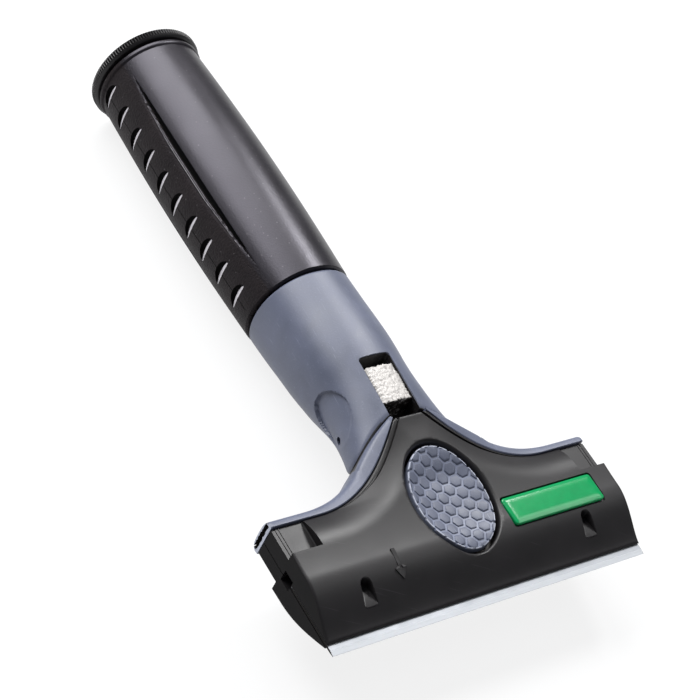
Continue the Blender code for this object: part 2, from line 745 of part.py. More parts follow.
def frame_ring(inner, outer):
    """A section across an arm: flat towards the covers and rounded on its free side."""
    rise = min(1, max(0, (inner[1] - HEAD_TOP - SEAM) / (TONGUE_TOP - HEAD_TOP)))
    top = FRAME_FRONT + FRAME_FRONT_RISE * rise ** FRAME_RISE_POWER
    bottom = -FRAME_REAR - FRAME_REAR_FALL * rise
    middle = (top + bottom) * HALF
    half = (top - bottom) * HALF
    ring = []
    for i in range(FRAME_ARC_STEPS + 1):
        angle = math.pi * (HALF - i / FRAME_ARC_STEPS)
        out = math.cos(angle) ** FRAME_SQUARENESS if 0 < i < FRAME_ARC_STEPS else 0
        up = math.copysign(abs(math.sin(angle)) ** FRAME_SQUARENESS, math.sin(angle))
        x = inner[0] + (outer[0] - inner[0]) * out
        y = inner[1] + (outer[1] - inner[1]) * out
        ring.append((x, y, middle + half * up))
    return ring


def add_head_frame(group, look, shared):
    inner = [(HEAD_HALF, HEAD_TOP + SEAM)] + cover_curve(SEAM, FRAME_PACE)
    start = (FRAME_CURVE_START, FRAME_TOP)
    outer = arm_curve(start, (FRAME_ROOT_HALF, FRAME_ROOT), FRAME_X_SHARES, FRAME_Y_SHARES)
    outer = [(HEAD_HALF, FRAME_TOP)] + outer
    rings = [frame_ring(a, b) for a, b in zip(inner, outer)]
    frame = add_object("head_frame", loft(rings), group, look)
    left = loft([[(-x, y, z) for x, y, z in ring] for ring in rings])
    fuse(frame, add_tool("left_arm", left, group))
    low = (-BRIDGE_HALF, REAR_TONGUE_TOP + SEAM, -BRIDGE_BOTTOM)
    high = (BRIDGE_HALF, ARCH_TOP + OVERRUN, -SPINE_BOTTOM - CLEARANCE)
    fuse(frame, add_tool("frame_bridge", box(low, high), group))
    edge = arch_outline(-CLEARANCE)
    change(frame, add_tool("frame_arch", prism(edge, -HEAD_HALF, HEAD_HALF), group), "INTERSECT")
    return frame


def neck_ring(half, front, rear, y, sides=ROUND_SIDES):
    middle = (front - rear) * HALF
    height = (front + rear) * HALF
    ring = []
    for i in range(sides):
        angle = math.tau * i / sides
        c = math.cos(angle)
        s = math.sin(angle)
        x = half * math.copysign(abs(c) ** NECK_SQUARENESS, c)
        ring.append((x, y, middle + height * math.copysign(abs(s) ** NECK_SQUARENESS, s)))
    return ring


def neck_rings():
    top = SEAM_Y - SEAM_GAP
    rings = []
    for row in zip(NECK_Y_SHARES, NECK_HALF_SHARES, NECK_FRONT_SHARES, NECK_REAR_SHARES):
        y = NECK_FOOT + (top - NECK_FOOT) * row[0]
        rings.append(neck_ring(NECK_RADIUS * row[1], NECK_RADIUS * row[2], NECK_RADIUS * row[3], y))
    return rings


def add_neck(group, look):
    neck = add_object("neck_body", loft(neck_rings()), group, look)
    edge = arch_outline(0)
    cut(neck, add_tool("neck_arch", prism(edge, -HEAD_HALF, HEAD_HALF), group))
    half = SPINE_HALF + CLEARANCE
    low = (-half, NECK_FOOT - OVERRUN, -SPINE_BOTTOM - CLEARANCE)
    cut(neck, add_tool("neck_channel", box(low, (half, SPINE_END + CLEARANCE, SPINE_TOP + CLEARANCE)), group))
    low = (-WINDOW_HALF, NECK_FOOT, SPINE_TOP)
    cut(neck, add_tool("window", box(low, (WINDOW_HALF, WINDOW_TOP, GRIP_FOOT_RADIUS + OVERRUN)), group))
    cut(neck, add_tool("store_bore", rod(TUBE_BORE, STORE_START, SEAM_Y), group))
    cut(neck, add_tool("socket_bore", rod(TUBE_RADIUS + CLEARANCE, SOCKET_START, SEAM_Y), group))
    cut(neck, add_tool("neck_pin_hole", pin_rod(PIN_RADIUS + CLEARANCE, PIN_LENGTH + NECK_RADIUS), group))
    cut(neck, add_tool("dimples", dimples(), group))
    return neck


def pin_rod(radius, length):
    outline = circle(radius, SMALL_SIDES, (PIN_Y, PIN_Z))
    return loft([[(x, y, z) for y, z in outline] for x in (-length * HALF, length * HALF)])


def dimples():
    """Shallow teardrop hollows for the finger and thumb on both sides of the neck."""
    shape = bmesh.new()
    reach = NECK_RADIUS * NECK_HALF_SHARES[4] - DIMPLE_DEPTH
    for side in (-1, 1):
        ball = bmesh.ops.create_uvsphere(shape, u_segments=DIMPLE_SIDES, v_segments=DIMPLE_SIDES, radius=1)
        for point in ball["verts"]:
            x, y, z = point.co
            out = reach + DIMPLE_REACH * (1 + x)
            point.co = (side * out, DIMPLE_Y + DIMPLE_LENGTH * y, DIMPLE_Z + DIMPLE_HEIGHT * z)
    return shape


def add_core_pin(group, look):
    return add_object("core_pin", pin_rod(PIN_RADIUS, PIN_LENGTH), group, look)


def boss_height(y):
    """The height of the neck's front at a place along it, which the boss follows."""
    top = SEAM_Y - SEAM_GAP
    share = (y - NECK_FOOT) / (top - NECK_FOOT)
    table = list(zip(NECK_Y_SHARES, NECK_FRONT_SHARES))
    for (a, low), (b, high) in zip(table, table[1:]):
        if a <= share <= b:
            return NECK_RADIUS * (low + (high - low) * (share - a) / (b - a))
    return NECK_RADIUS


def add_metal_core(group, look):
    half = PLATE_HALF
    right = [(half, PLATE_FRONT), (half, PLATE_BACK), (PLATE_SHOULDER, PLATE_BACK)]
    right += [(PLATE_ROOT_HALF, PLATE_ROOT), (SPINE_HALF * HALF, PLATE_ROOT)]
    core = add_object("metal_core", prism(mirrored(right), SLOT_CEILING, PLATE_TOP), group, look)
    low = (-SPINE_HALF, SPINE_START, -SPINE_BOTTOM)
    spine = box(low, (SPINE_HALF, SPINE_END, PLATE_TOP - STAGGER))
    fuse(core, add_tool("spine", spine, group))
    low = (-SPINE_HALF + STAGGER, SPINE_STEP + CLEARANCE, SPINE_BOTTOM)
    step = box(low, (SPINE_HALF - STAGGER, SPINE_END - STAGGER, SPINE_TOP))
    fuse(core, add_tool("spine_top", step, group))
    rings = []
    for y in (BOSS_START, (BOSS_START + BOSS_END) * HALF, BOSS_END):
        crown = boss_height(y) - BOSS_SINK - BOSS_CROWN
        ring = [(BOSS_HALF * x, y, crown + BOSS_CROWN * z) for x, z in BOSS_ARC_SHARES]
        rings.append(ring + [(BOSS_HALF, y, PLATE_TOP), (-BOSS_HALF, y, PLATE_TOP)])
    fuse(core, add_tool("boss", loft(rings), group))
    low = (STOP_HALF_GAP, STOP_FACE, SLOT_CEILING - STOP_DEPTH)
    high = (PLATE_HALF - STAGGER, STOP_FACE + STOP_WIDTH, SLOT_CEILING + PLATE_THICKNESS * HALF)
    fuse(core, add_tool("blade_stops", both_sides(low, high), group))

    holes = rods([(-POST_X, POST_Y), (POST_X, POST_Y)], POST_RADIUS + POST_CLEARANCE, 0, SPINE_TOP)
    cut(core, add_tool("core_post_holes", holes, group))
    holes = rods(screw_places(), SCREW_RADIUS + CLEARANCE, 0, SPINE_TOP)
    cut(core, add_tool("core_screw_holes", holes, group))
    places = [(-SPRING_X, SPRING_Y), (SPRING_X, SPRING_Y)]
    seats = rods(places, SPRING_RADIUS + SPRING_WIRE + CLEARANCE, PLATE_TOP - SPRING_SEAT, SPINE_TOP)
    cut(core, add_tool("spring_seats", seats, group))
    cut(core, add_tool("core_pin_hole", pin_rod(PIN_RADIUS + CLEARANCE, PIN_LENGTH), group))
    return core


def button_top(x, y):
    """The pad follows the front face, with a shallow thumb hollow."""
    across = x / (OVAL_HALF_WIDTH - BUTTON_GAP)
    along = (y - OVAL_CENTRE) / (OVAL_HALF_LENGTH - BUTTON_GAP)
    reach = min(1, across * across + along * along)
    return front_height(0, y) - BUTTON_SINK - BUTTON_DISH * (1 - reach)


def add_thumb_button(group, look):
    rings = []
    half_width = OVAL_HALF_WIDTH - BUTTON_GAP
    half_length = OVAL_HALF_LENGTH - BUTTON_GAP
    outline = oval(half_width, half_length)
    rings.append([(x, y, BUTTON_BOTTOM) for x, y in outline])
    rings.append([(x, y, button_top(x, y) - BUTTON_EDGE) for x, y in outline])
    for share in BUTTON_RING_SHARES:
        ring = [(x * share, OVAL_CENTRE + (y - OVAL_CENTRE) * share) for x, y in outline]
        rings.append([(x, y, button_top(x, y)) for x, y in ring])
    button = add_object("thumb_button", loft(rings), group, look)
    places = [(-POST_X, POST_Y), (POST_X, POST_Y)]
    posts = rods(places, POST_RADIUS, CLAMP_TOP + CLEARANCE, BUTTON_BOTTOM + BUTTON_EDGE)
    fuse(button, add_tool("button_posts", posts, group))
    depth = CLAMP_TOP + CLAMP_SCREW_LENGTH
    holes = rods(places, CLAMP_SCREW_RADIUS + CLEARANCE, CLAMP_BOTTOM, depth)
    cut(button, add_tool("button_screw_holes", holes, group))
    places = [(-SPRING_X, SPRING_Y), (SPRING_X, SPRING_Y)]
    radius = SPRING_RADIUS + SPRING_WIRE + CLEARANCE
    wells = rods(places, radius, BUTTON_BOTTOM - OVERRUN, BUTTON_BOTTOM + SPRING_LIFT)
    cut(button, add_tool("spring_wells", wells, group))
    return button


def add_clamp(group, plate_look, pad_look, screw_look):
    half = CLAMP_HALF
    right = [(half, CLAMP_FRONT), (half, CLAMP_BACK), (CLAMP_TONGUE_HALF, CLAMP_BACK)]
    right += [(CLAMP_TONGUE_HALF, CLAMP_TONGUE_TOP)]
    plate = add_object("clamp_plate", prism(mirrored(right), CLAMP_BOTTOM, CLAMP_TOP), group, plate_look)
    places = [(-POST_X, POST_Y), (POST_X, POST_Y)]
    holes = rods(places, CLAMP_SCREW_RADIUS + CLEARANCE, CLAMP_BOTTOM - OVERRUN, CLAMP_TOP + OVERRUN)
    cut(plate, add_tool("clamp_screw_holes", holes, group))
    sink = CLAMP_BOTTOM + CLAMP_SCREW_HEAD_THICKNESS + CLEARANCE
    heads = rods(places, CLAMP_SCREW_HEAD + CLEARANCE, CLAMP_BOTTOM - OVERRUN, sink)
    cut(plate, add_tool("clamp_head_sinks", heads, group))

    low = (-half + PAD_MARGIN, PAD_FRONT, PAD_BOTTOM)
    add_object("clamp_pad", box(low, (half - PAD_MARGIN, PAD_FRONT + PAD_WIDTH, PAD_TOP)), group, pad_look)

    for side, (x, y) in zip(("left", "right"), places):
        head_high = CLAMP_BOTTOM + CLAMP_SCREW_HEAD_THICKNESS
        tip = CLAMP_TOP + CLAMP_SCREW_LENGTH - CLEARANCE
        rings = [(CLAMP_SCREW_HEAD, CLAMP_BOTTOM), (CLAMP_SCREW_HEAD, head_high)]
        rings += [(CLAMP_SCREW_RADIUS, head_high), (CLAMP_SCREW_RADIUS, tip)]
        shape = loft([[(px, py, z) for px, py in circle(r, SMALL_SIDES, (x, y))] for r, z in rings])
        add_object("clamp_screw_" + side, shape, group, screw_look)


def add_springs(group, look):
    """Two coil springs, each one unbroken wire from the core's seat up into the button's well."""
    low = PLATE_TOP - SPRING_SEAT + CLEARANCE + SPRING_WIRE
    high = BUTTON_BOTTOM + SPRING_LIFT - CLEARANCE - SPRING_WIRE
    count = SPRING_TURNS * SPRING_STEPS
    for side, centre in (("left", -SPRING_X), ("right", SPRING_X)):
        points = []
        for i in range(count + 1):
            angle = math.tau * i / SPRING_STEPS
            x = centre + SPRING_RADIUS * math.cos(angle)
            y = SPRING_Y + SPRING_RADIUS * math.sin(angle)
            points.append(Vector((x, y, low + (high - low) * i / count)))
        curve = bpy.data.curves.new("button_spring_" + side, "CURVE")
        curve.dimensions = "3D"
        curve.bevel_depth = SPRING_WIRE
        curve.bevel_resolution = 1
        curve.use_fill_caps = True
        line = curve.splines.new("POLY")
        line.points.add(count)
        for node, point in zip(line.points, points):
            node.co = (*(point - group.location), 1)
        curve.materials.append(look)
        spring = bpy.data.objects.new("button_spring_" + side, curve)
        bpy.context.scene.collection.objects.link(spring)
        spring.parent = group
    apart = [
        (points[i] - points[j]).length
        for i in range(count + 1)
        for j in range(i + SPRING_STEPS // 2 + 1, count + 1)
    ]
    print("least gap of a spring to itself, in metres:", round(min(apart) - 2 * SPRING_WIRE, 6))


def add_blade(group, look):
    """A flat strip, sharpened along both long edges so that it can be turned round."""
    section = [(0, -BLADE_EDGE * HALF), (BLADE_BEVEL, -BLADE_THICKNESS * HALF)]
    section += [(BLADE_DEPTH - BLADE_BEVEL, -BLADE_THICKNESS * HALF), (BLADE_DEPTH, -BLADE_EDGE * HALF)]
    section += [(y, -z) for y, z in reversed(section)]
    ends = (-BLADE_LENGTH * HALF, BLADE_LENGTH * HALF)
    shape = loft([[(x, y, BLADE_HEIGHT + z) for y, z in section] for x in ends])
    return add_object("blade", shape, group, look)


def thread(root, crest, start, turns):
    """A screw ridge wound on the handle's axis, a right-hand thread seen from the cap's end."""
    rings = []
    count = int(turns * THREAD_STEPS)
    for i in range(count + 1):
        angle = -math.tau * i / THREAD_STEPS
        y = start + THREAD_PITCH * i / THREAD_STEPS
        section = [(root, -THREAD_WIDTH * HALF), (crest, -THREAD_CREST_WIDTH * HALF)]
        section += [(crest, THREAD_CREST_WIDTH * HALF), (root, THREAD_WIDTH * HALF)]
        rings.append([(r * math.cos(angle), y + dy, r * math.sin(angle)) for r, dy in section])
    return loft(rings)


def add_handle_tube(group, look):
    start = SOCKET_START + CLEARANCE
    profile = [(TUBE_BORE, start), (TUBE_RADIUS, start), (TUBE_RADIUS, HANDLE_END), (TUBE_BORE, HANDLE_END)]
    tube = add_object("handle_tube", turned(profile), group, look)
    ridge = thread(TUBE_BORE + THREAD_ROOT_SINK, TUBE_THREAD_CREST, THREAD_START, THREAD_TURNS)
    fuse(tube, add_tool("tube_thread", ridge, group))
    return tube


def add_grip(group, look):
    lip = HANDLE_END - GRIP_LIP_LENGTH
    bore = TUBE_RADIUS + CLEARANCE
    profile = [(bore, SEAM_Y), (GRIP_FOOT_RADIUS - GRIP_EDGE, SEAM_Y), (GRIP_FOOT_RADIUS, SEAM_Y + GRIP_EDGE)]
    profile += [(GRIP_TOP_RADIUS, lip), (GRIP_TOP_RADIUS + GRIP_LIP, lip + GRIP_LIP_LENGTH * HALF)]
    profile += [(GRIP_TOP_RADIUS, HANDLE_END), (bore, HANDLE_END)]
    grip = add_object("grip_sleeve", turned(profile), group, look)
    cut(grip, add_tool("grip_slots", grip_slots(), group))
    cut(grip, add_tool("grip_creases", grip_creases(), group))
    return grip


def grip_radius(y):
    share = (y - SEAM_Y) / (HANDLE_END - SEAM_Y)
    return GRIP_FOOT_RADIUS + (GRIP_TOP_RADIUS - GRIP_FOOT_RADIUS) * share


def grip_slots():
    """D-shaped hollows down both sides: deep under the arc and rising to the straight edge."""
    shape = bmesh.new()
    for side in (-1, 1):
        for number in range(SLOT_COUNT):
            y = SLOT_FIRST + SLOT_PITCH * number
            radius = grip_radius(y)
            outer = []
            inner = []
            for i in range(SLOT_ARC_STEPS + 1):
                angle = math.pi * i / SLOT_ARC_STEPS
                rise = math.sin(angle)
                depth = SLOT_RAMP + (SLOT_DEPTH - SLOT_RAMP) * rise
                place = (y - SLOT_WIDTH * HALF + SLOT_WIDTH * rise, SLOT_HALF * math.cos(angle))
                outer.append((side * (radius + OVERRUN), *place))
                inner.append((side * (radius - depth), *place))
            loft([outer, inner], shape)
    return shape


def grip_creases():
    """Long grooves that taper to both ends, steep on one side and sloping on the other."""
    shape = bmesh.new()
    for degrees in CREASE_ANGLES:
        angle = math.radians(degrees)
        outward = Vector((math.cos(angle), 0, math.sin(angle)))
        across = Vector((-math.sin(angle), 0, math.cos(angle)))
        turn = -1 if math.sin(2 * angle) > 0 else 1
        rings = []
        for y_share, size in zip(CREASE_Y_SHARES, CREASE_SIZE_SHARES):
            y = CREASE_FOOT + (CREASE_TOP - CREASE_FOOT) * y_share
            radius = grip_radius(y)
            top = outward * (radius + OVERRUN) + Vector((0, y, 0))
            bottom = outward * (radius - CREASE_DEPTH * size) + Vector((0, y, 0))
            steep = across * turn * CREASE_WIDTH * CREASE_STEEP_SHARE * size
            gentle = across * turn * CREASE_WIDTH * size
            rings.append([top + steep, bottom + steep * HALF, top - gentle])
        loft(rings, shape)
    return shape


def add_cap_seal(group, look):
    low = HANDLE_END + CLEARANCE
    high = CAP_START - CLEARANCE
    profile = [(SEAL_INNER + SEAL_EDGE, low), (SEAL_OUTER - SEAL_EDGE, low), (SEAL_OUTER, low + SEAL_EDGE)]
    profile += [(SEAL_OUTER, high - SEAL_EDGE), (SEAL_OUTER - SEAL_EDGE, high)]
    profile += [(SEAL_INNER + SEAL_EDGE, high), (SEAL_INNER, high - SEAL_EDGE), (SEAL_INNER, low + SEAL_EDGE)]
    return add_object("cap_seal", turned(profile), group, look)


def add_end_cap(group, look):
    sides = CAP_RIB_COUNT * 2
    rim = CAP_RADIUS - CAP_CHAMFER
    band = CAP_START + CAP_CHAMFER
    rows = [(PLUG_RADIUS, CAP_START - PLUG_LENGTH, 0), (PLUG_RADIUS, CAP_START, 0), (rim, CAP_START, 0)]
    rows += [(CAP_RADIUS, band, CAP_RIB_DEPTH), (CAP_RADIUS, CAP_END, CAP_RIB_DEPTH)]
    rings = []
    for radius, y, rib in rows:
        ring = []
        for i in range(sides):
            angle = math.tau * i / sides
            r = radius - rib * (i % 2)
            ring.append((r * math.cos(angle), y, r * math.sin(angle)))
        rings.append(ring)
    cap = add_object("end_cap", loft(rings), group, look)
    start = THREAD_START + THREAD_PITCH * HALF
    ridge = thread(PLUG_RADIUS - THREAD_ROOT_SINK, PLUG_THREAD_CREST, start, THREAD_TURNS)
    fuse(cap, add_tool("plug_thread", ridge, group))
    cut(cap, add_tool("cap_dish", rod(CAP_DISH_RADIUS, CAP_END - CAP_DISH_DEPTH, CAP_END + OVERRUN), group))
    floor = CAP_END - CAP_DISH_DEPTH
    low = (-COIN_SLOT_HALF, floor - COIN_SLOT_DEPTH, -COIN_SLOT_WIDTH * HALF)
    cut(cap, add_tool("coin_slot", box(low, (COIN_SLOT_HALF, CAP_END, COIN_SLOT_WIDTH * HALF)), group))
    return cap


def build():
    clear_scene()
    datum = add_empty("datum", (0, -OVERALL_LENGTH * HALF, CAP_RADIUS))
    button_group = add_empty("button_axis", (0, OVAL_CENTRE, BUTTON_BOTTOM), datum)
    blade_group = add_empty("blade_path", (0, BLADE_DEPTH * HALF, BLADE_HEIGHT), datum)
    cap_group = add_empty("cap_axis", (0, CAP_START, 0), datum)

    black = make_look("black_moulding", (0.022, 0.021, 0.023), 0.45)
    rubber = make_look("grip_rubber", (0.020, 0.019, 0.021), 0.6)
    grey = make_look("blue_grey_moulding", (0.17, 0.19, 0.25), 0.5)
    green = make_look("green_enamel", (0.0, 0.33, 0.10), 0.2)
    cast = make_look("cast_metal", (0.75, 0.74, 0.73), 0.55, 1.0)
    steel = make_look("blade_steel", (0.72, 0.74, 0.77), 0.25, 1.0)
    zinc = make_look("zinc_plate", (0.55, 0.55, 0.56), 0.35, 1.0)

    shared = {"blade_slot": add_blade_slot(datum), "end_notches": add_end_notches(datum)}
    shared["spine_way"] = add_spine_way(datum)

    add_front_cover(datum, black, shared)
    add_rear_cover(datum, black, shared)
    add_cover_screws(datum, zinc)
    add_badge(datum, green)
    add_head_frame(datum, grey, shared)
    add_neck(datum, grey)
    add_core_pin(datum, zinc)
    add_metal_core(datum, cast)
    add_handle_tube(datum, black)
    add_grip(datum, rubber)
    add_thumb_button(button_group, grey)
    add_clamp(button_group, zinc, rubber, zinc)
    add_springs(button_group, steel)
    add_blade(blade_group, steel)
    add_cap_seal(cap_group, rubber)
    add_end_cap(cap_group, black)


build()
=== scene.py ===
# %% [markdown]
# # A window scraper, dressed for its portrait
# The frame below is the finished CAD model of a hand scraper: a long steel blade in a two-shell head, a
# moulded neck with two arms, and a ribbed rubber handle. This script keeps that frame as it is and puts
# finer shapes and real finishes on it, piece by piece, each with a few words on why it is made that way.

# %% Load the frame
import math

import bmesh
import bpy
import numpy as np
from mathutils import Matrix, Vector, noise


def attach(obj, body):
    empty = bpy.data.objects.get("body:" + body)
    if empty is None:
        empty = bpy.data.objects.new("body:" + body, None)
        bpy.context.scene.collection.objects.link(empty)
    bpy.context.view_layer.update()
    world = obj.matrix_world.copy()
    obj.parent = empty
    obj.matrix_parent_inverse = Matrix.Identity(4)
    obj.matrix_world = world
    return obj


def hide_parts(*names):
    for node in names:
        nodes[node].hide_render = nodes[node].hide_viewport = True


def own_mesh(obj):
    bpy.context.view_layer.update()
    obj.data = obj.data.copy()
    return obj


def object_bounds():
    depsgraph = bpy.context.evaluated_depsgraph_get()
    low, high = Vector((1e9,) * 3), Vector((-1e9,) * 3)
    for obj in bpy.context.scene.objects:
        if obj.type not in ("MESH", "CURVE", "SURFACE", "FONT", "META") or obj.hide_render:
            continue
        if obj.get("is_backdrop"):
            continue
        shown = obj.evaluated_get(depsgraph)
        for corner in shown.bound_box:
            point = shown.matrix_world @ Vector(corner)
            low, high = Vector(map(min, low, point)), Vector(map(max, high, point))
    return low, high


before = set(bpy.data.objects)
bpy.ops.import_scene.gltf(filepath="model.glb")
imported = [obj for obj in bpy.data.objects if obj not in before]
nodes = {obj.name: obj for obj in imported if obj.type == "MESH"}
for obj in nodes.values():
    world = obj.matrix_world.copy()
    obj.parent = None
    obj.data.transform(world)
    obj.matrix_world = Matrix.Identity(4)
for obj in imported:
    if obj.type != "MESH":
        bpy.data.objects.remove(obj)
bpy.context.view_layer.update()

# %% [markdown]
# A maker measures this tool from the middle of the blade's edge: X runs along the blade, Y up the handle
# and Z out of the front. All shapes here are drawn in those millimetres, and one function carries them
# into the frame's metres. Bodies are kept as plain arrays of points and faces until the last moment,
# because arrays are quick to bend, copy and measure.

# %% From drawn millimetres to pieces
MM = 0.001
cap_radius = 16.6
tool_length = 190.5
datum = np.array([0.0, -tool_length / 2, cap_radius])


def placed(name, data):
    """A new object in the scene for a mesh, a camera or a lamp."""
    item = bpy.data.objects.new(name, data)
    bpy.context.scene.collection.objects.link(item)
    return item


def make_object(name, body):
    """An object from the points and faces of a body drawn in the tool's millimetres."""
    points, faces = body
    mesh = bpy.data.meshes.new(name)
    mesh.from_pydata(((np.asarray(points) + datum) * MM).tolist(), [], faces)
    shape = bmesh.new()
    shape.from_mesh(mesh)
    bmesh.ops.recalc_face_normals(shape, faces=shape.faces)
    shape.to_mesh(mesh)
    shape.free()
    return placed(name, mesh)


def together(*bodies):
    """Several bodies as one set of points and faces."""
    points, faces = [], []
    for more_points, more_faces in bodies:
        start = sum(len(p) for p in points)
        points.append(np.asarray(more_points, float))
        faces += [[i + start for i in face] for face in more_faces]
    return np.vstack(points), faces


def loft(rings, looped=False):
    """A closed body through rings of equally many points: capped at both ends, or joined into a loop."""
    rings = np.asarray(rings, float)
    rows, count = rings.shape[:2]
    index = np.arange(rows * count).reshape(rows, count)
    near, far = (index, np.roll(index, -1, 0)) if looped else (index[:-1], index[1:])
    faces = np.stack([near, np.roll(near, -1, 1), np.roll(far, -1, 1), far], -1).reshape(-1, 4).tolist()
    points = rings.reshape(-1, 3)
    if not looped:
        for row in (0, rows - 1):
            centre = len(points)
            points = np.vstack([points, rings[row].mean(0)])
            faces += [[int(index[row][i]), int(index[row][(i + 1) % count]), centre] for i in range(count)]
    return points, faces


def level(outline, z):
    """The points of an outline at one height, or at one height each."""
    return np.column_stack([outline, np.broadcast_to(z, len(outline))])


def prism(outline, low, high):
    """An outline of (x, y) points drawn up from one height to another."""
    outline = np.asarray(outline, float)
    return loft([level(outline, low), level(outline, high)])


def box(low, high):
    return prism([(low[0], low[1]), (high[0], low[1]), (high[0], high[1]), (low[0], high[1])], low[2], high[2])


def mirrored(body):
    points, faces = body
    return np.asarray(points) * (-1, 1, 1), faces


def circle(radius, count, centre=(0, 0)):
    turn = np.linspace(0, math.tau, count, endpoint=False)
    return np.column_stack([centre[0] + radius * np.cos(turn), centre[1] + radius * np.sin(turn)])


def carve(item, body, operation="DIFFERENCE"):
    """Cuts a body out of an object, or joins it on, and keeps the result as the object's mesh."""
    tool = make_object("tool", body)
    step = item.modifiers.new("carve", "BOOLEAN")
    step.operation = operation
    step.solver = "EXACT"
    step.object = tool
    graph = bpy.context.evaluated_depsgraph_get()
    mesh = bpy.data.meshes.new_from_object(item.evaluated_get(graph))
    item.modifiers.clear()
    item.data = mesh
    bpy.data.objects.remove(tool)


def open_edges(item):
    shape = bmesh.new()
    shape.from_mesh(item.data)
    count = sum(1 for edge in shape.edges if len(edge.link_faces) != 2)
    shape.free()
    return count


def settle(item, look, body, replaced, sharp=38):
    """Gives a finished piece its look, its smooth shading and its body, and hides the nodes that it stands for.
    """
    item.data.materials.clear()
    item.data.materials.append(look)
    item.data.shade_smooth()
    item.data.set_sharp_from_angle(angle=math.radians(sharp))
    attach(item, body)
    if replaced:
        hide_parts(*replaced)
    print(item.name, len(item.data.polygons), "faces,", open_edges(item), "open edges")


# %% [markdown]
# Colours are written the way a paint chart gives them, as sRGB hex values, and turned linear in one place.
# One small function adds a shader node: a number or colour is set on its socket, and another node's socket
# is linked to it. Every finish below is read from the object's own coordinates, which are real metres, so
# a grain of 0.3 mm is simply a scale of one over 0.0003. Most finishes begin with two tones mixed by a
# noise, and all end alike: a roughness that wanders between two limits, a bump, and the shader.

# %% Colours and nodes
def linear(code):
    shares = [int(code[i:i + 2], 16) / 255 for i in (1, 3, 5)]
    return tuple(s / 12.92 if s <= 0.04045 else ((s + 0.055) / 1.055) ** 2.4 for s in shares) + (1.0,)


def add_node(look, kind, values=None, **settings):
    """Adds one node; values go to its sockets, and those that are sockets themselves are linked."""
    node = look.node_tree.nodes.new("ShaderNode" + kind)
    for key, value in settings.items():
        setattr(node, key, value)
    for key, value in (values or {}).items():
        if isinstance(value, bpy.types.NodeSocket):
            look.node_tree.links.new(value, node.inputs[key])
        else:
            node.inputs[key].default_value = value
    return node


def new_look(name):
    look = bpy.data.materials.new(name)
    look.use_nodes = True
    look.node_tree.nodes.clear()
    return look, add_node(look, "TexCoord").outputs["Object"]


def cycles(size):
    """A texture scale whose features are about this many millimetres wide."""
    return 1 / (size * MM)


def two_tones(look, place, size, detail, dark, light, **more):
    """A noise of a size in millimetres, and a colour that wanders with it from dark to light."""
    values = {"Vector": place, "Scale": cycles(size), "Detail": detail, **more}
    share = add_node(look, "TexNoise", values).outputs["Fac"]
    tone = add_node(look, "Mix", {0: share, 6: linear(dark), 7: linear(light)}, data_type="RGBA")
    return share, tone.outputs[2]


def tinted(look, tone, code, source, low, high, most=1.0, **settings):
    """A colour laid over a tone as a source goes from low to high, up to a share."""
    share = add_node(look, "MapRange", {"Value": source, "From Min": low, "From Max": high, "To Max": most})
    values = {0: share.outputs["Result"], 6: tone, 7: linear(code)}
    return add_node(look, "Mix", values, data_type="RGBA", **settings).outputs[2]


def finish_look(look, values, rough, bump=None, span=(0, 1)):
    """Ends a finish: rough is a source and two limits, bump a source, a strength and a depth in mm."""
    source, low, high = rough
    wander = add_node(look, "MapRange", {"Value": source, "From Min": span[0], "From Max": span[1],
                                         "To Min": low, "To Max": high})
    values = {**values, "Roughness": wander.outputs["Result"]}
    if bump:
        source, strength, depth = bump
        raised = add_node(look, "Bump", {"Height": source, "Strength": strength, "Distance": depth * MM})
        values["Normal"] = raised.outputs["Normal"]
    shader = add_node(look, "BsdfPrincipled", values)
    add_node(look, "OutputMaterial", {"Surface": shader.outputs[0]})
    return look


# %% [markdown]
# ## Black moulded shells: glass-filled ABS
# The covers and the cap are injection moulded in a spark-eroded tool. That leaves a fine, even grain which
# spreads the highlight, a faint cloudiness from the way the melt ran, and, after some use, hairline rubs
# that look paler than the plastic. The grain is really about 0.1 mm; it is drawn at 0.25 mm so that it
# still shows in the picture. Two darker, duller copies carry painted shade: one on the covers' matt end
# faces, and one down in the grip's creases, slots and mould line.

# %% Black moulding
def stretched(look, place, sizes):
    """Coordinates that draw a noise out as long, wide and high as the sizes say, in millimetres."""
    long = add_node(look, "Mapping", {"Vector": place, "Scale": Vector([cycles(size) for size in sizes])})
    return long.outputs[0]


def rubbed(look, place, tone, code, sizes, turn, low, high, most=1.0):
    """Thin pale hairlines over a tone: the crests of a noise that is drawn out along one direction."""
    turned = add_node(look, "Mapping", {"Vector": place, "Rotation": (0, 0, math.radians(turn))})
    streaks = add_node(look, "TexNoise", {"Vector": stretched(look, turned.outputs[0], sizes),
                                          "Scale": 1.0, "Detail": 1.0})
    return tinted(look, tone, code, streaks.outputs["Fac"], low, high, most)


def black_moulding(name, dark, light, worn, rough_low, rough_high, shine):
    look, place = new_look(name)
    cloud, tone = two_tones(look, place, 9, 3.0, dark, light)
    grain = add_node(look, "TexNoise", {"Vector": place, "Scale": cycles(0.25), "Detail": 2.0})
    tone = rubbed(look, place, tone, worn, (9, 0.25, 9), 24, 0.72, 0.80)
    return finish_look(look, {"Base Color": tone, "IOR": 1.53, "Specular IOR Level": shine},
                       (cloud, rough_low, rough_high), (grain.outputs["Fac"], 0.35, 0.03))


black = black_moulding("moulded_black_abs", "#141314", "#1f1d1f", "#302e31", 0.34, 0.46, 0.30)
# A darker, duller copy of the black for the covers' end faces: painted shade on a matt finish.
end_black_painted_shade = black_moulding("moulded_black_abs_matt_ends_painted_shade", "#0b0a0b", "#121112", "#1c1b1d", 0.60, 0.75, 0.12)
# A near-black copy for the grip's creases, slots and mould line: painted shade.
painted_shade_black = black_moulding("black_painted_shade_in_creases", "#040404", "#0a090a", "#0c0b0c", 0.80, 0.95, 0.10)
print("black moulding:", len(black.node_tree.nodes), "nodes")

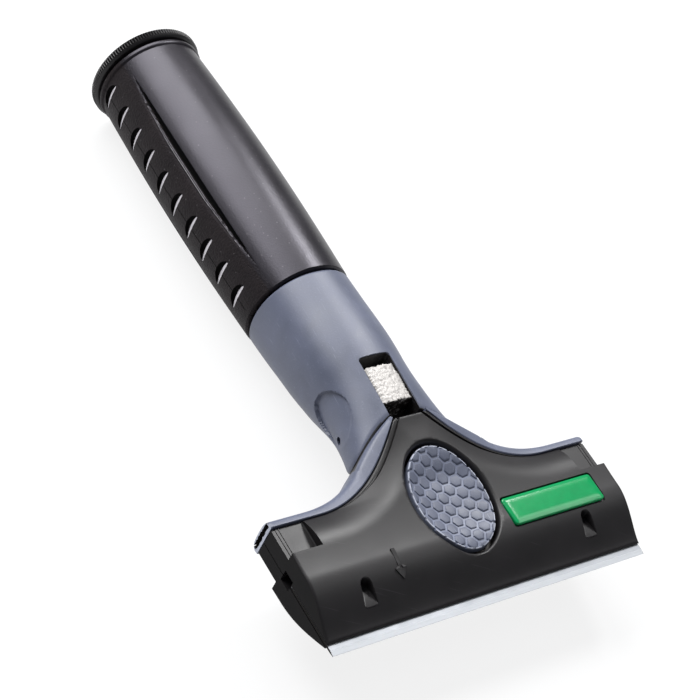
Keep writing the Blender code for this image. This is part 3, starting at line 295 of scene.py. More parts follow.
# %% [markdown]
# ## The head's outline
# Seen from the front, the two shells share one outline: straight across the ends, then a hollow curve up
# to the neck. The curve is a Bezier, the same as in the CAD model, sampled finely. Everything on the head
# that follows this edge, such as the rail along the arms and the arms themselves, is an offset of it.

# %% The covers' top edge
head_half = 50.1
lip_y = 2.9
head_top = 33.0
curve_start = 36.0
tongue_half = 5.2
tongue_top = 50.5
roll_width = 9.0


def bezier(start, end, x_shares, y_shares, count):
    """A curve from start to end whose four handles stand at shares of the way between them."""
    t = np.linspace(0, 1, count)[:, None]
    handles = [(end[0] + (start[0] - end[0]) * x, start[1] + (end[1] - start[1]) * y)
               for x, y in zip(x_shares, y_shares)]
    a, b, c, d = np.array(handles)
    return (1 - t) ** 3 * a + 3 * (1 - t) ** 2 * t * b + 3 * (1 - t) * t * t * c + t ** 3 * d


def cover_curve(offset=0.0, count=81):
    start = (curve_start, head_top + offset)
    end = (tongue_half + offset, tongue_top + offset)
    return bezier(start, end, (1, 0.545, 0.237, 0), (0, 0, 0.531, 1), count)


edge_line = np.vstack([[(head_half, head_top)], cover_curve(), [(0, tongue_top)]])


def cover_top(x):
    """How far up the covers reach at a place along the blade."""
    return np.interp(np.abs(x), edge_line[::-1, 0], edge_line[::-1, 1])


def edge_distance(x, y):
    """How far a place lies inside the covers' top edge, up to the width of the roll-over."""
    place = np.stack([np.abs(x), y], -1)
    best = np.full(place.shape[:-1], roll_width)
    for a, b in zip(edge_line, edge_line[1:]):
        run = b - a
        share = np.clip(((place - a) @ run) / (run @ run), 0, 1)
        best = np.minimum(best, np.linalg.norm(place - a - share[..., None] * run, axis=-1))
    return np.where(y <= cover_top(x) + 1e-6, best, 0)


def head_roll(x, y):
    lift = np.clip((y - head_top) / (tongue_top - head_top), 0, 1)
    return (1 - edge_distance(x, y) / roll_width) ** 2 * (1 - lift)


print("the covers reach", round(float(cover_top(0)), 1), "mm up at the neck and", head_top, "mm at the ends")

# %% [markdown]
# The front shell's face is one smooth function of place: a rounded nose behind the lip, a slow rise up to
# the neck, and a soft roll-over along the top edge. A height function like this is easier to keep true
# than a patchwork of surfaces, and every opening later takes its own lip height from it.

# %% The heights of both faces
nose_length = 15.0
front_lip, nose_rise, crown_rise, front_roll = 2.9, 6.2, 4.6, 3.0
rear_nose_length = 17.6
rear_lip, rear_drop, rear_fall, rear_roll = 0.7, 5.9, 1.1, 1.2


def front_height(x, y):
    nose = np.clip((y - lip_y) / nose_length, 0, 1)
    crown = np.clip((y - lip_y - nose_length) / (tongue_top - lip_y - nose_length), 0, None)
    height = front_lip + nose_rise * np.sin(np.pi / 2 * nose) ** 1.3 + crown_rise * crown ** 1.6
    return height - front_roll * head_roll(x, y)


def rear_height(x, y):
    nose = np.clip((y - lip_y) / rear_nose_length, 0, 1)
    fall = np.clip((y - lip_y - rear_nose_length) / (tongue_top - lip_y - rear_nose_length), 0, None)
    return rear_lip - rear_drop * np.sin(np.pi / 2 * nose) - rear_fall * fall + rear_roll * head_roll(x, y)


print("front face", round(float(front_height(0.0, 25.0)), 2), "mm, rear face",
      round(float(rear_height(0.0, 25.0)), 2), "mm at the head's middle")


# %% [markdown]
# ## A shell body
# Each shell starts as a block: a grid of points over the outline, walls down its sides and a flat base.
# The grid's columns stand closer at the ends and its rows closer at the lip and the top edge, so that the
# small radius that a mould leaves on every edge can be real geometry, and it catches a line of light.

# %% A shell block
edge_radius = 0.45
level_to = 30.0
front_base, rear_base = 1.95, 1.65
blade_slot_top = 20.4
spine_half, spine_foot = 4.9, 30.3
past_ends = 60


def shell_block(height, top, base, sign):
    inner = np.linspace(0, head_half - 1.2, 62)
    right = np.concatenate([inner, head_half - np.array([0.8, 0.45, 0.25, 0.1, 0.0])])
    xs = np.concatenate([-right[:0:-1], right])
    low = lip_y + np.array([0, 0.1, 0.25, 0.45, 0.8])
    low = np.concatenate([low, np.linspace(lip_y + 1.3, level_to, 44)])
    near_top = 1 - np.array([0.11, 0.085, 0.06, 0.04, 0.02, 0.008, 0])
    share = np.concatenate([np.linspace(0, 0.86, 24)[1:], near_top])
    tops = top(xs)
    rows = [np.full(len(xs), y) for y in low] + [level_to + (tops - level_to) * s for s in share]
    y = np.array(rows)
    x = np.broadcast_to(xs, y.shape)
    z = height(x, y)
    gap = np.minimum(np.minimum(head_half - np.abs(x), y - lip_y), np.abs(tops[None, :] - y))
    z = z - sign * edge_radius * (1 - np.clip(gap / edge_radius, 0, 1)) ** 2 * 0.7
    points = np.stack([x, y, z], -1)
    count = points.shape[1]
    index = np.arange(points.shape[0] * count).reshape(points.shape[:2])
    quads = np.stack([index[:-1, :-1], index[:-1, 1:], index[1:, 1:], index[1:, :-1]], -1)
    faces = quads.reshape(-1, 4).tolist()
    rim = np.concatenate([index[0, :-1], index[:-1, -1], index[-1, :0:-1], index[:0:-1, 0]])
    points = points.reshape(-1, 3)
    foot = points[rim].copy()
    foot[:, 2] = base
    start, count = len(points), len(rim)
    for i in range(count):
        j = (i + 1) % count
        faces.append([int(rim[i]), int(rim[j]), start + j, start + i])
    faces.append(list(range(start, start + count)))
    return np.vstack([points, foot]), faces


def cover_outline(wall, low, high, half):
    """The covers' outline drawn in by a wall and cropped to a field, for the hollow inside."""
    line = cover_curve(count=41)
    run = np.gradient(line, axis=0)
    inner = line - np.stack([run[:, 1], -run[:, 0]], -1) / np.linalg.norm(run, axis=1, keepdims=True) * wall
    right = np.vstack([[(half, low), (half, head_top - wall)], inner])
    right = np.clip(right, (0.5, low), (half, high))
    keep = [right[0]]
    for point in right[1:]:
        if np.linalg.norm(point - keep[-1]) > 0.05:
            keep.append(point)
    right = np.array(keep)
    return np.vstack([right, (right * (-1, 1))[::-1]])


# %% [markdown]
# ## Openings with moulded lips
# A hole cut straight through a shell would have a razor edge. Each cutter here flares as it leaves the
# surface, so the hole gets a small rounded lip, as a moulded part has. A cutter is a stack of rings, each
# one the opening's outline grown by a little and laid just below or above the face's own height.

# %% Cutters that follow the face
def grown(outline, offset):
    """An outline of (x, y) points, run anticlockwise, moved outward by an offset."""
    run = np.roll(outline, -1, 0) - np.roll(outline, 1, 0)
    normal = np.stack([run[:, 1], -run[:, 0]], -1)
    return outline + normal / np.linalg.norm(normal, axis=1, keepdims=True) * offset


def on_face(outline, height, depth):
    """The points of an outline, laid below a face by a depth."""
    return np.column_stack([outline, height(outline[:, 0], outline[:, 1]) - depth])


def opening(outline, height, floor, lip):
    """A cutter from a floor out through a face; lip lists (growth, depth below the face) pairs."""
    return loft([level(outline, floor)] + [on_face(grown(outline, growth), height, depth)
                                           for growth, depth in lip])


def rounded_box(half_x, half_y, radius, centre, steps=6):
    points = []
    for turn, (sx, sy) in enumerate(((1, 1), (-1, 1), (-1, -1), (1, -1))):
        for i in range(steps + 1):
            angle = math.pi / 2 * (turn + i / steps)
            points.append((centre[0] + sx * (half_x - radius) + radius * math.cos(angle),
                           centre[1] + sy * (half_y - radius) + radius * math.sin(angle)))
    return np.array(points)


# %% [markdown]
# ## The front cover
# The photo shows an oval opening for the thumb button, a shallow pocket for the badge, two slanted vents,
# a lowered panel at each end, and a rail with a groove along the arms. All of them are cut from the block
# in three passes, so that no two cutters of one pass touch each other.

# %% Places on the front cover
oval_centre = 27.2
oval_half = (11.7, 15.6)
badge_centre = (28.0, 18.8)
badge_half = (15.1, 4.0)
badge_floor = 8.2
recess_x = 41.2
recess_y = 24.4
recess_level = 6.8
vent_x = 35.3
vent_floor = 5.3


def oval(growth=0.0, count=96):
    ring = circle(1, count)
    return np.column_stack([(oval_half[0] + growth) * ring[:, 0],
                            oval_centre + (oval_half[1] + growth) * ring[:, 1]])


def vent_outline(side):
    """Round at the top, wider towards the lip, with small corner radii at its foot."""
    arc = np.linspace(0, math.pi, 13)
    top = np.column_stack([1.55 * np.cos(arc), 12.2 + 1.55 * np.sin(arc)])
    foot = [(-1.85, 8.0), (-1.75, 7.6), (-1.3, 7.4), (1.3, 7.4), (1.75, 7.6), (1.85, 8.0)]
    return np.vstack([top, foot]) + (side * vent_x, 0)


def end_cut(side, section):
    """A cutter for the lowered panel at one end, from its section of (x, z) points."""
    return loft([[(side * x, y, z) for x, z in section] for y in (recess_y, 40.0)])


def end_panel(side):
    """The lowered panel at one end, with two fine ridges along its outer edge."""
    section = [(recess_x, 13.0), (recess_x, recess_level + 0.25), (recess_x + 0.25, recess_level)]
    for ridge in (47.9, 48.8):
        for step, lift in ((0, 0), (0.12, 0.16), (0.28, 0.16), (0.4, 0)):
            section.append((ridge + step, recess_level + lift))
    return end_cut(side, section + [(52.0, recess_level), (52.0, 13.0)])


def groove(side):
    """The groove between the face and the rail that runs along the arm, fading out towards the end."""
    line = cover_curve(count=61)[8:]
    line = np.vstack([line, line[-1] + (line[-1] - line[-2]) * 3])
    run = np.gradient(line, axis=0)
    inward = -np.abs(np.stack([run[:, 1], run[:, 0]], -1)) / np.linalg.norm(run, axis=1, keepdims=True)
    share = np.linspace(0, 1, len(line))
    fade = np.clip(share / 0.45, 0.02, 1)
    near = line + inward * (0.40 + 0.35 * fade)[:, None]
    far = line + inward * (0.45 + 0.95 * fade)[:, None]
    rings = []
    for a, b, f in zip(near, far, fade):
        middle = (a + b) / 2
        top = [float(front_height(*p)) for p in (a, middle, b)]
        foot_a, foot_b, edge_b = a * 0.85 + b * 0.15, a * 0.2 + b * 0.8, b * 1.28 - a * 0.28
        rings.append([(a[0], a[1], top[0] + 0.6), (foot_a[0], foot_a[1], top[1] - 0.8 * f),
                      (foot_b[0], foot_b[1], top[1] - 0.8 * f), (b[0], b[1], top[2] - 0.16 * f),
                      (edge_b[0], edge_b[1], top[2] + 0.02), (edge_b[0], edge_b[1], top[2] + 0.6)])
    body = loft(rings)
    return body if side > 0 else mirrored(body)


# %% Cut the front cover
lip = [(0, 0.9), (0.08, 0.62), (0.22, 0.36), (0.42, 0.16), (0.6, 0.05), (0.72, -0.02), (0.72, -3.0)]
small_lip = [(0, 0.25), (0.04, 0.1), (0.12, 0.0), (0.14, -2.5)]
end_slots = [box((side * 47.7, 20.0, 0.0), (side * 51.5, 23.6, 3.6)) for side in (-1, 1)]
front = make_object("front_shell", shell_block(front_height, cover_top, front_base, 1))
carve(front, prism(cover_outline(1.6, 8.5, 48.9, 48.5), 1.0, 4.5))
carve(front, together(box((-past_ends, -1, 1.0), (past_ends, blade_slot_top, 2.4)),
                      box((-spine_half, spine_foot, 1.0), (spine_half, 51.5, 4.5))))
badge_pocket = rounded_box(badge_half[0] + 0.3, badge_half[1] + 0.3, 0.9, badge_centre)
first_cuts = [opening(oval(), front_height, 1.0, lip),
              opening(badge_pocket, front_height, badge_floor, small_lip)]
for side, end_slot in zip((-1, 1), end_slots):
    first_cuts += [opening(vent_outline(side), front_height, vent_floor, small_lip), end_panel(side),
                   groove(side), end_slot]
carve(front, together(*first_cuts))

# %% [markdown]
# A plain arrow left of the button points towards the blade: a raised shape 0.34 mm high, a little more than
# a real emboss so that it catches the light.

# %% A plain arrow on the front cover
def arrow(centre, length, width, lift):
    half, barb, step = width / 2, width * 1.6, -length * 0.18
    shape = [(half, length * 0.5), (-half, length * 0.5), (-half, step), (-barb, step),
             (0, -length * 0.5), (barb, step), (half, step)]
    outline = np.array(shape) + centre
    top = front_height(outline[:, 0], outline[:, 1])
    return prism(outline, top - 0.4, top + lift)


carve(front, arrow((-24.5, 14.6), 7.5, 1.05, 0.34), "UNION")
settle(front, black, "tool", ["front_cover"])

# %% [markdown]
# ## The rear cover
# The back isn't in the photo, apart from its left end, so it is kept plain: the same outline cut short at
# the neck, the same lowered end panels, and four screws in counterbores with moulded lips.

# %% Cut the rear cover
shank_hole, head_hole = 1.5, 2.6
screw_places = [(36.07, 27.6), (17.54, 32.5), (-36.07, 27.6), (-17.54, 32.5)]


def rear_top(x):
    return np.minimum(cover_top(x), 45.0)


def counterbore(place):
    seat = float(rear_height(*place)) + 2.1
    bore = ((shank_hole, 3.0), (shank_hole, seat), (head_hole, seat))
    rings = [level(circle(r, 40, place), z) for r, z in bore]
    for growth, depth in ((0, 0.35), (0.06, 0.14), (0.18, 0.02), (0.2, -2.5)):
        rings.append(on_face(circle(head_hole + growth, 40, place), rear_height, -depth))
    return loft(rings)


rear = make_object("rear_shell", shell_block(rear_height, rear_top, rear_base, -1))
carve(rear, prism(cover_outline(1.2, 12.5, 43.8, 40.2), -3.0, 3.0))
carve(rear, together(box((-past_ends, -1, 1.2), (past_ends, blade_slot_top, 3.0)),
                     box((-spine_half, spine_foot, -2.1), (spine_half, 46.0, 3.0))))
rear_section = [(recess_x, -13.0), (recess_x, -2.45), (recess_x + 0.25, -2.2), (52.0, -2.2), (52.0, -13.0)]
cuts = [counterbore(place) for place in screw_places]
cuts += [end_cut(side, rear_section) for side in (-1, 1)] + end_slots
carve(rear, together(*cuts))
settle(rear, black, "tool", ["rear_cover"])

# %% [markdown]
# ## Cover screws
# A pan-head thread-forming screw holds a moulded shell well, and it is what a plastics shop would use. The
# head is turned with a small radius, and the cross is cut with a tapering point, as a driver needs.

# %% Turn the screws
def screw_body(place, low, tip):
    rows = [(1.9, low), (2.18, low + 0.1), (2.3, low + 0.35), (2.3, low + 1.3), (1.2, low + 1.3), (1.2, tip)]
    return loft([level(circle(r, 40, place), z) for r, z in rows])


def cross(place, low, high):
    shape = []
    for turn in range(4):
        c, s = math.cos(turn * math.pi / 2), math.sin(turn * math.pi / 2)
        shape += [(x * c - y * s, x * s + y * c) for x, y in ((1.3, -0.25), (1.3, 0.25), (0.27, 0.27))]
    shape = np.array(shape)
    return loft([level(shape + place, low), level(shape * 0.45 + place, high)])


screws = []
for number, place in enumerate(screw_places, 1):
    low = float(rear_height(*place)) + 0.5
    screw = make_object("cover_screw_head_%d" % number, screw_body(place, low, 6.8))
    carve(screw, cross(place, low - 0.3, low + 1.0))
    screws.append(screw)

# %% [markdown]
# ## The head frame's arms
# Each arm is a band between two curves: an offset of the covers' edge, and a free outer curve that runs
# into the crease under the neck. The band narrows to a point beside the neck's window. Sections across it
# are flat towards the covers and rounded on the free side, and square where the arm meets the neck.

# %% Sweep the arms
arm_seam = -0.3
arm_outer = 35.9
arm_front, arm_front_rise = 7.8, 6.0
arm_rear, arm_rear_fall = -3.4, 2.8
rounded, squared = 0.6, 0.34


def arch(x, offset=0.0):
    """The crease between arms and neck, seen from the front."""
    return 53.3 + offset - 7.5 * (np.abs(x) / 16.3) ** 1.7


def resample(line, count):
    step = np.concatenate([[0], np.cumsum(np.linalg.norm(np.diff(line, axis=0), axis=1))])
    share = np.linspace(0, 1, count) * step[-1]
    return np.column_stack([np.interp(share, step, line[:, k]) for k in range(2)])


def arm_lines(count):
    inner = np.vstack([[(head_half, head_top + 0.2)], cover_curve(0.2, 120)])
    outer = bezier((40.0, arm_outer), (16.2, 53.0), (1, 0.454, -0.013, 0), (0, 0, 0.386, 1), 240)
    outer = outer[(outer[:, 0] > 20.5) | (outer[:, 1] < arch(outer[:, 0], arm_seam))]
    crease = np.linspace(outer[-1, 0], 5.9, 60)[1:]
    line = np.vstack([[(head_half, arm_outer)], outer, np.column_stack([crease, arch(crease, arm_seam)])])
    return resample(inner, count), resample(line, count), outer[-1, 0]


def arm(count=150, around=14):
    inner, outer, free_end = arm_lines(count)
    rings = []
    for (ax, ay), (bx, by) in zip(inner, outer):
        rise = min(1, max(0, (ay - head_top - 0.5) / (tongue_top - head_top)))
        top = arm_front + arm_front_rise * rise ** 1.2
        low = arm_rear - arm_rear_fall * rise
        creased = min(1, max(0, (free_end + 1.5 - bx) / 2.5))
        square = rounded * (1 - creased) + squared * creased
        middle, half = (top + low) / 2, (top - low) / 2
        ring = []
        for i in range(around + 1):
            angle = math.pi * (0.5 - i / around)
            out = max(0.0, math.cos(angle)) ** square
            up = math.copysign(abs(math.sin(angle)) ** square, math.sin(angle))
            ring.append((ax + (bx - ax) * out, ay + (by - ay) * out, middle + half * up))
        ring[0] = (ring[0][0], ring[0][1], top - 0.22)
        ring.insert(1, (ax + (bx - ax) * 0.07, ay + (by - ay) * 0.07, top))
        ring[-1] = (ring[-1][0], ring[-1][1], low + 0.22)
        rings.append(ring)
    rings = np.array(rings)
    for row, shrink in ((0, 0.35), (1, 0.1)):
        centre = rings[row].mean(0)
        rings[row, :, 1:] += (centre[1:] - rings[row, :, 1:]) * shrink * 0.12
    return loft(rings)


def torn_pocket(seed):
    """A hollow in an arm's cut end, its rim torn unevenly."""
    random = np.random.default_rng(seed)
    heights = np.linspace(-2.5, 6.9, 18)
    near, far = (np.column_stack([y + random.uniform(-0.14, 0.14, 18), heights]) for y in (34.05, 35.35))
    outline = np.vstack([near, far[::-1]])
    deep = outline * 0.9 + np.array([34.7, 2.2]) * 0.1
    return loft([[(x, y, z) for y, z in ring] for x, ring in ((51.0, outline), (49.5, outline), (48.6, deep))])


frame_arms = make_object("head_arms", arm())
carve(frame_arms, mirrored(arm()), "UNION")
bridge_x = np.linspace(9.5, -9.5, 21)
bridge = np.vstack([[(-9.5, 45.5), (9.5, 45.5)], np.column_stack([bridge_x, arch(bridge_x, arm_seam)])])
carve(frame_arms, prism(bridge, -5.2, -2.1), "UNION")
carve(frame_arms, together(torn_pocket(3), mirrored(torn_pocket(5))))

# %% [markdown]
# ## The neck
# The neck is a moulded sleeve whose section changes from a flat oval at the head to a circle at the grip:
# its width, its front and its rear are three tables of shares of 15 mm, fitted to the outline in the
# photo. Its lower edge follows the crease. The side hollow for finger and thumb is pressed into the rings
# themselves: crisp along its upper edge, fading out below.

# %% Shape the neck
neck_foot = 43.0
neck_end = 98.6
neck_unit = 15.0
oval_power = 0.94
tube_radius = 12.9
hollow_y, hollow_z = 61.0, 3.8
neck_places = (0.0, 0.10, 0.16, 0.24, 0.31, 0.38, 0.45, 0.53, 0.62, 0.72, 0.82, 0.92, 1.0)
neck_sides = (1.22, 1.10, 1.04, 0.985, 0.96, 0.95, 0.955, 0.98, 1.0, 1.0, 1.0, 1.0, 1.0)
neck_fronts = (0.80, 0.84, 0.87, 0.91, 0.94, 0.965, 0.99, 1.01, 1.02, 1.02, 1.01, 1.005, 1.0)
neck_rears = (0.38, 0.41, 0.45, 0.505, 0.585, 0.685, 0.77, 0.815, 0.86, 0.90, 0.945, 0.98, 1.0)


def flowing(table, y):
    """The table's value at a place up the neck, on a smooth curve through all its rows."""
    xs, ys = np.array(neck_places), neck_unit * np.array(table)
    share = np.clip((np.asarray(y, float) - neck_foot) / (neck_end - neck_foot), 0, 1)
    slopes = np.gradient(ys, xs)
    i = np.clip(np.searchsorted(xs, share) - 1, 0, len(xs) - 2)
    width = xs[i + 1] - xs[i]
    t = (share - xs[i]) / width
    return ((1 + 2 * t) * (1 - t) ** 2 * ys[i] + t * (1 - t) ** 2 * width * slopes[i]
            + t * t * (3 - 2 * t) * ys[i + 1] + t * t * (t - 1) * width * slopes[i + 1])


def neck_section(y):
    """Half the width, the middle's height and half the height of the neck at a place along it."""
    side, front_z, rear_z = (flowing(table, y) for table in (neck_sides, neck_fronts, neck_rears))
    return side, (front_z - rear_z) / 2, (front_z + rear_z) / 2


def neck_point(turn, y):
    side, middle, half = neck_section(y)
    c, s = np.cos(turn), np.sin(turn)
    x = side * np.sign(c) * np.abs(c) ** oval_power
    return x, middle + half * np.sign(s) * np.abs(s) ** oval_power


def neck_front(x, y):
    side, middle, half = neck_section(y)
    c = np.clip(np.abs(x) / side, 0, 1) ** (1 / oval_power)
    return middle + half * np.sqrt(1 - c * c) ** oval_power


def hollow(y, z):
    """Depth of the finger hollow: full under its crisp upper edge, nothing at its lower end."""
    up = np.where(y > hollow_y, (y - hollow_y) / 7.0, (y - hollow_y) / 9.5)
    reach = np.sqrt(up * up + ((z - hollow_z) / 5.9) ** 2)
    edge = np.clip((1 - reach) / (0.04 + 0.08 * np.clip((62 - y) / 8, 0, 1)), 0, 1)
    edge = edge * edge * (3 - 2 * edge)
    return 0.95 * edge * np.clip((y - 52.0) / 13.0, 0, 1) ** 0.8


columns = 252
turns = np.arange(columns) / columns * math.tau
foot = np.full(columns, 50.0)
for _ in range(40):
    foot = 0.5 * foot + 0.5 * arch(neck_point(turns, foot)[0])
shares = np.concatenate([[0, 0.004, 0.009, 0.015, 0.022, 0.030], np.linspace(0.038, 0.985, 136),
                         [0.991, 0.996, 1.0]])
rings = []
for share in shares:
    y = foot + (neck_end - foot) * share
    x, z = neck_point(turns, y)
    press = hollow(y, z) * np.clip((np.abs(x) - 8.0) / 3.0, 0, 1)
    shrink = 1 - 0.02 * max(0, (share - 0.991) / 0.009) - 0.04 * max(0, (0.03 - share) / 0.03) ** 2
    rings.append(np.column_stack([(x - np.sign(x) * press) * shrink, y, (z - 3.0) * shrink + 3.0]))
points, faces = loft(rings)

# The foot is saddle-shaped, so straight rungs from side to side close it instead of a fan from its middle.
foot_centre = len(points) - 2
faces = [[foot_centre if i > foot_centre else i for i in face] for face in faces if foot_centre not in face]
for i in range(columns // 2):
    rung = [i, i + 1, (columns - i - 1) % columns, (columns - i) % columns]
    faces.append(list(dict.fromkeys(rung)))
neck = make_object("neck_sleeve", (np.delete(points, foot_centre, 0), faces))
print("neck:", len(faces), "faces before its openings,", open_edges(neck), "open edges")

# %% Open the neck
window = rounded_box(4.8, 9.7, 0.7, (0.0, 59.7))
window_lip = [(0, 0.35), (0.06, 0.16), (0.2, 0.03), (0.24, -4.0)]
pin_hole = circle(1.1, 24, (54.8, 2.0))
holes = [opening(window, neck_front, 6.5, window_lip)]
holes += [loft([[(side * x, y, z) for y, z in pin_hole] for x in (11.0, 20.0)]) for side in (-1, 1)]
carve(neck, together(*holes))
ring = [(tube_radius * math.cos(turn), tube_radius * math.sin(turn)) for turn in turns[::3]]
socket = loft([[(x, y, z) for x, z in ring] for y in (90.0, 99.0)])
carve(neck, together(box((-spine_half, 42.0, -2.1), (spine_half, 79.3, 6.8)), socket))

# %% [markdown]
# ## The cast core
# In the neck's window a bright bar shows: the end of the casting that stiffens the tool, left as it came
# out of the mould. Its top is dense mesh pushed about by noise, bright and faintly mottled, with ragged
# edges, and the end that faces the head is dark and pitted. The rest of the casting is the CAD's own.

# %% Roughen the bar
def roughness(points, size, seed):
    shift = Vector((seed * 7.3, seed * 3.1, seed * 5.7))
    return np.array([noise.fractal(Vector(p) / size + shift, 1.0, 2.0, 3) for p in points])


bar_half = 4.72
bar_x = np.linspace(-bar_half, bar_half, 40)
bar_y = np.linspace(55.62, 66.58, 48)
bar_rows = []
for y in bar_y:
    high = flowing(neck_fronts, y) - 0.45 - 0.45 * (bar_x / 4.5) ** 2
    high = high - 0.25 * np.clip((np.abs(bar_x) - 4.1) / 0.45, 0, 1) ** 2
    ring = [(x, y, z) for x, z in zip(bar_x, high)]
    ring += [(bar_half, y, z) for z in np.linspace(high[-1] - 0.3, 4.0, 18)]
    ring += [(-bar_half, y, z) for z in np.linspace(4.0, high[0] - 0.3, 18)]
    bar_rows.append(ring)
bar_rows = np.array(bar_rows)
flat = bar_rows.reshape(-1, 3)
wander, pits = (roughness(flat, size, seed).reshape(bar_rows.shape[:2]) for size, seed in ((0.8, 1), (0.35, 2)))
bar_rows[:, :40, 2] += 0.10 * np.clip(wander[:, :40], -0.2, 1) - 0.02
for side in (-1, 1):
    ragged = 0.5 * np.clip(0.3 + roughness([(side * 5, y, 0) for y in bar_y], 0.5, 3), 0, 1)
    ragged[-12:] = ragged[-12]
    reach = np.clip((side * bar_rows[:, :, 0] - 2.6) / 2.1, 0, 1)
    bar_rows[:, :, 0] -= side * reach * ragged[:, None]
pull = np.clip((np.arange(len(bar_y)) - 38) / 9, 0, 1)[:, None]
bar_rows[:, :, 1] += pull * (0.35 * wander[-1] + 0.12 * pits[-1] - 0.2)
core = placed("cast_core", nodes["metal_core"].data.copy())
carve(core, box((-4.55, 55.6, 6.6), (4.55, 66.6, 20)))
carve(core, loft(bar_rows), "UNION")
print("bar: top at", round(bar_rows[:, :, 2].max(), 2), "mm, core has", len(core.data.polygons), "faces")

# %% [markdown]
# ## The rubber grip
# The grip is a sleeve moulded over the handle tube, and it swells like a barrel to fill the palm. Two broad
# smooth panels, front and back, are divided from two grained side bands by long creases that taper to both
# ends. A crease is steep where it leaves the panel and climbs back in two fine ridges. The points stand
# close together only where a crease runs.

# %% Shape the grip
grip_foot = 99.3
grip_end = 187.3
grip_arc = 15.3
crease_foot = 107.8
crease_end = 180.3
crease_turns = (39.0, 141.0, 219.0, 321.0)


def grip_radius(y):
    """A slow taper, and a swell of 1.1 mm that fills the palm."""
    share = np.clip((y - grip_foot) / (grip_end - grip_foot), 0, 1)
    return 15.4 - 0.25 * share + 1.1 * np.sin(math.pi * (0.015 + 0.97 * share)) ** 0.9


def crease_size(y):
    """How open a crease is along its length, from 0 at both ends to 1 in its middle."""
    share = np.clip((y - crease_foot) / (crease_end - crease_foot), 0, 1)
    return np.interp(share, (0, 0.12, 0.35, 0.65, 0.88, 1), (0, 0.55, 1, 1, 0.55, 0))


def crease_depth(across, size):
    """Depth at a distance from the crease's steep side, which is positive towards the side band."""
    u = across / np.maximum(size, 0.05)
    depth = np.interp(u, (-0.14, 0.0, 0.2, 1.16, 1.34, 1.46, 1.58, 1.70, 1.82, 1.96, 2.08, 2.3, 3.0),
                      (0.0, 1.0, 1.75, 1.70, 0.80, 0.50, 0.16, 0.14, 0.46, 0.14, 0.12, 0.3, 0.0))
    return depth * np.where(size > 0.01, np.clip(size * 1.3, 0, 1), 0)


def crease_side(crease):
    """Which way round the handle the side band lies from a crease."""
    return -1 if math.sin(2 * math.radians(crease)) > 0 else 1


def crease_gap(degrees, crease):
    """Millimetres round the handle from a crease's steep side, positive towards the side band."""
    return math.radians((degrees - crease + 180) % 360 - 180) * grip_arc * crease_side(crease)


def crease_place(x, y, z):
    """How far a place lies from the nearest crease, in that crease's own units."""
    degrees = math.degrees(math.atan2(z, x))
    nearest = min(crease_turns, key=lambda turn: abs((degrees - turn + 180) % 360 - 180))
    return crease_gap(degrees, nearest) / max(float(crease_size(y)), 0.05)


fine = []
for crease in crease_turns:
    for across in np.concatenate([np.linspace(-0.4, 1.22, 14), np.linspace(1.34, 2.2, 11), (2.4, 2.7, 3.1)]):
        fine.append(math.radians(crease) + crease_side(crease) * across / grip_arc)
fine += [math.radians(d) + k * 0.12 / grip_arc for d in (0, 180) for k in (-1, 0, 1)]
fine = np.sort(np.mod(fine, math.tau))
coarse = [t for t in np.linspace(0, math.tau, 110, endpoint=False)
          if np.min(np.abs(np.mod(t - fine + math.pi, math.tau) - math.pi)) > 0.6 / grip_arc]
ys = np.concatenate([[99.3, 99.38, 99.55, 99.8], np.linspace(100.6, 107.4, 8), np.linspace(108.2, 180.0, 74),
                     np.linspace(180.9, 184.8, 5),
                     [185.2, 185.5, 185.8, 186.2, 186.6, 186.9, 187.1, 187.25, 187.3]])
edge = np.interp(ys, (99.3, 99.38, 99.55, 99.8), (0.5, 0.28, 0.08, 0.0))
edge = edge + np.interp(ys, (186.9, 187.1, 187.25, 187.3), (0.0, 0.12, 0.35, 0.55))
lipped = np.interp(ys, (185.2, 185.5, 185.8, 186.6, 187.1), (0, 0.34, 0.5, 0.5, 0.2))
bore = [(13.4, grip_end), (13.4, 186.5), (tube_radius, 186.3), (tube_radius, grip_foot)]
profiles = []
for turn in np.sort(np.concatenate([fine, coarse])):
    degrees = math.degrees(turn)
    radius = grip_radius(ys) - edge + lipped
    for crease in crease_turns:
        across = crease_gap(degrees, crease)
        if abs(across) < 4:
            radius = radius - crease_depth(across, crease_size(ys))
    flash = 0.34 + 0.14 * math.sin(7 * turn) + 0.1 * math.sin(17 * turn)
    radius = radius - np.interp(ys, (99.3, 99.8), (flash, 0))
    if min(abs((degrees + 180) % 360 - 180), abs(degrees - 180)) < 0.1:
        radius = radius - 0.10 * (np.abs(ys - 144) < 42)
    line = list(zip(radius, ys)) + bore
    profiles.append([(r * math.cos(turn), y, r * math.sin(turn)) for r, y in line])
grip = make_object("grip_rubber_sleeve", loft(profiles, looped=True))

# %% [markdown]
# Ten lens-shaped finger slots run down each side band. Each is deepest under its arc, which faces the cap,
# and its floor climbs to the edge towards the blade, which bows by less than half a millimetre. The cutter
# has the arc's rings three deep, so the climbing floor is hollow rather than flat.

# %% Cut the finger slots
slot_places = np.linspace(107.1, 183.1, 10)
slot_half = 4.2
slot_foot, slot_bow, slot_length = 1.4, 0.45, 2.8


def slot_rise(z):
    """The arc's share of its full height, across the slot."""
    return math.sqrt(1 - (z / slot_half) ** 2)


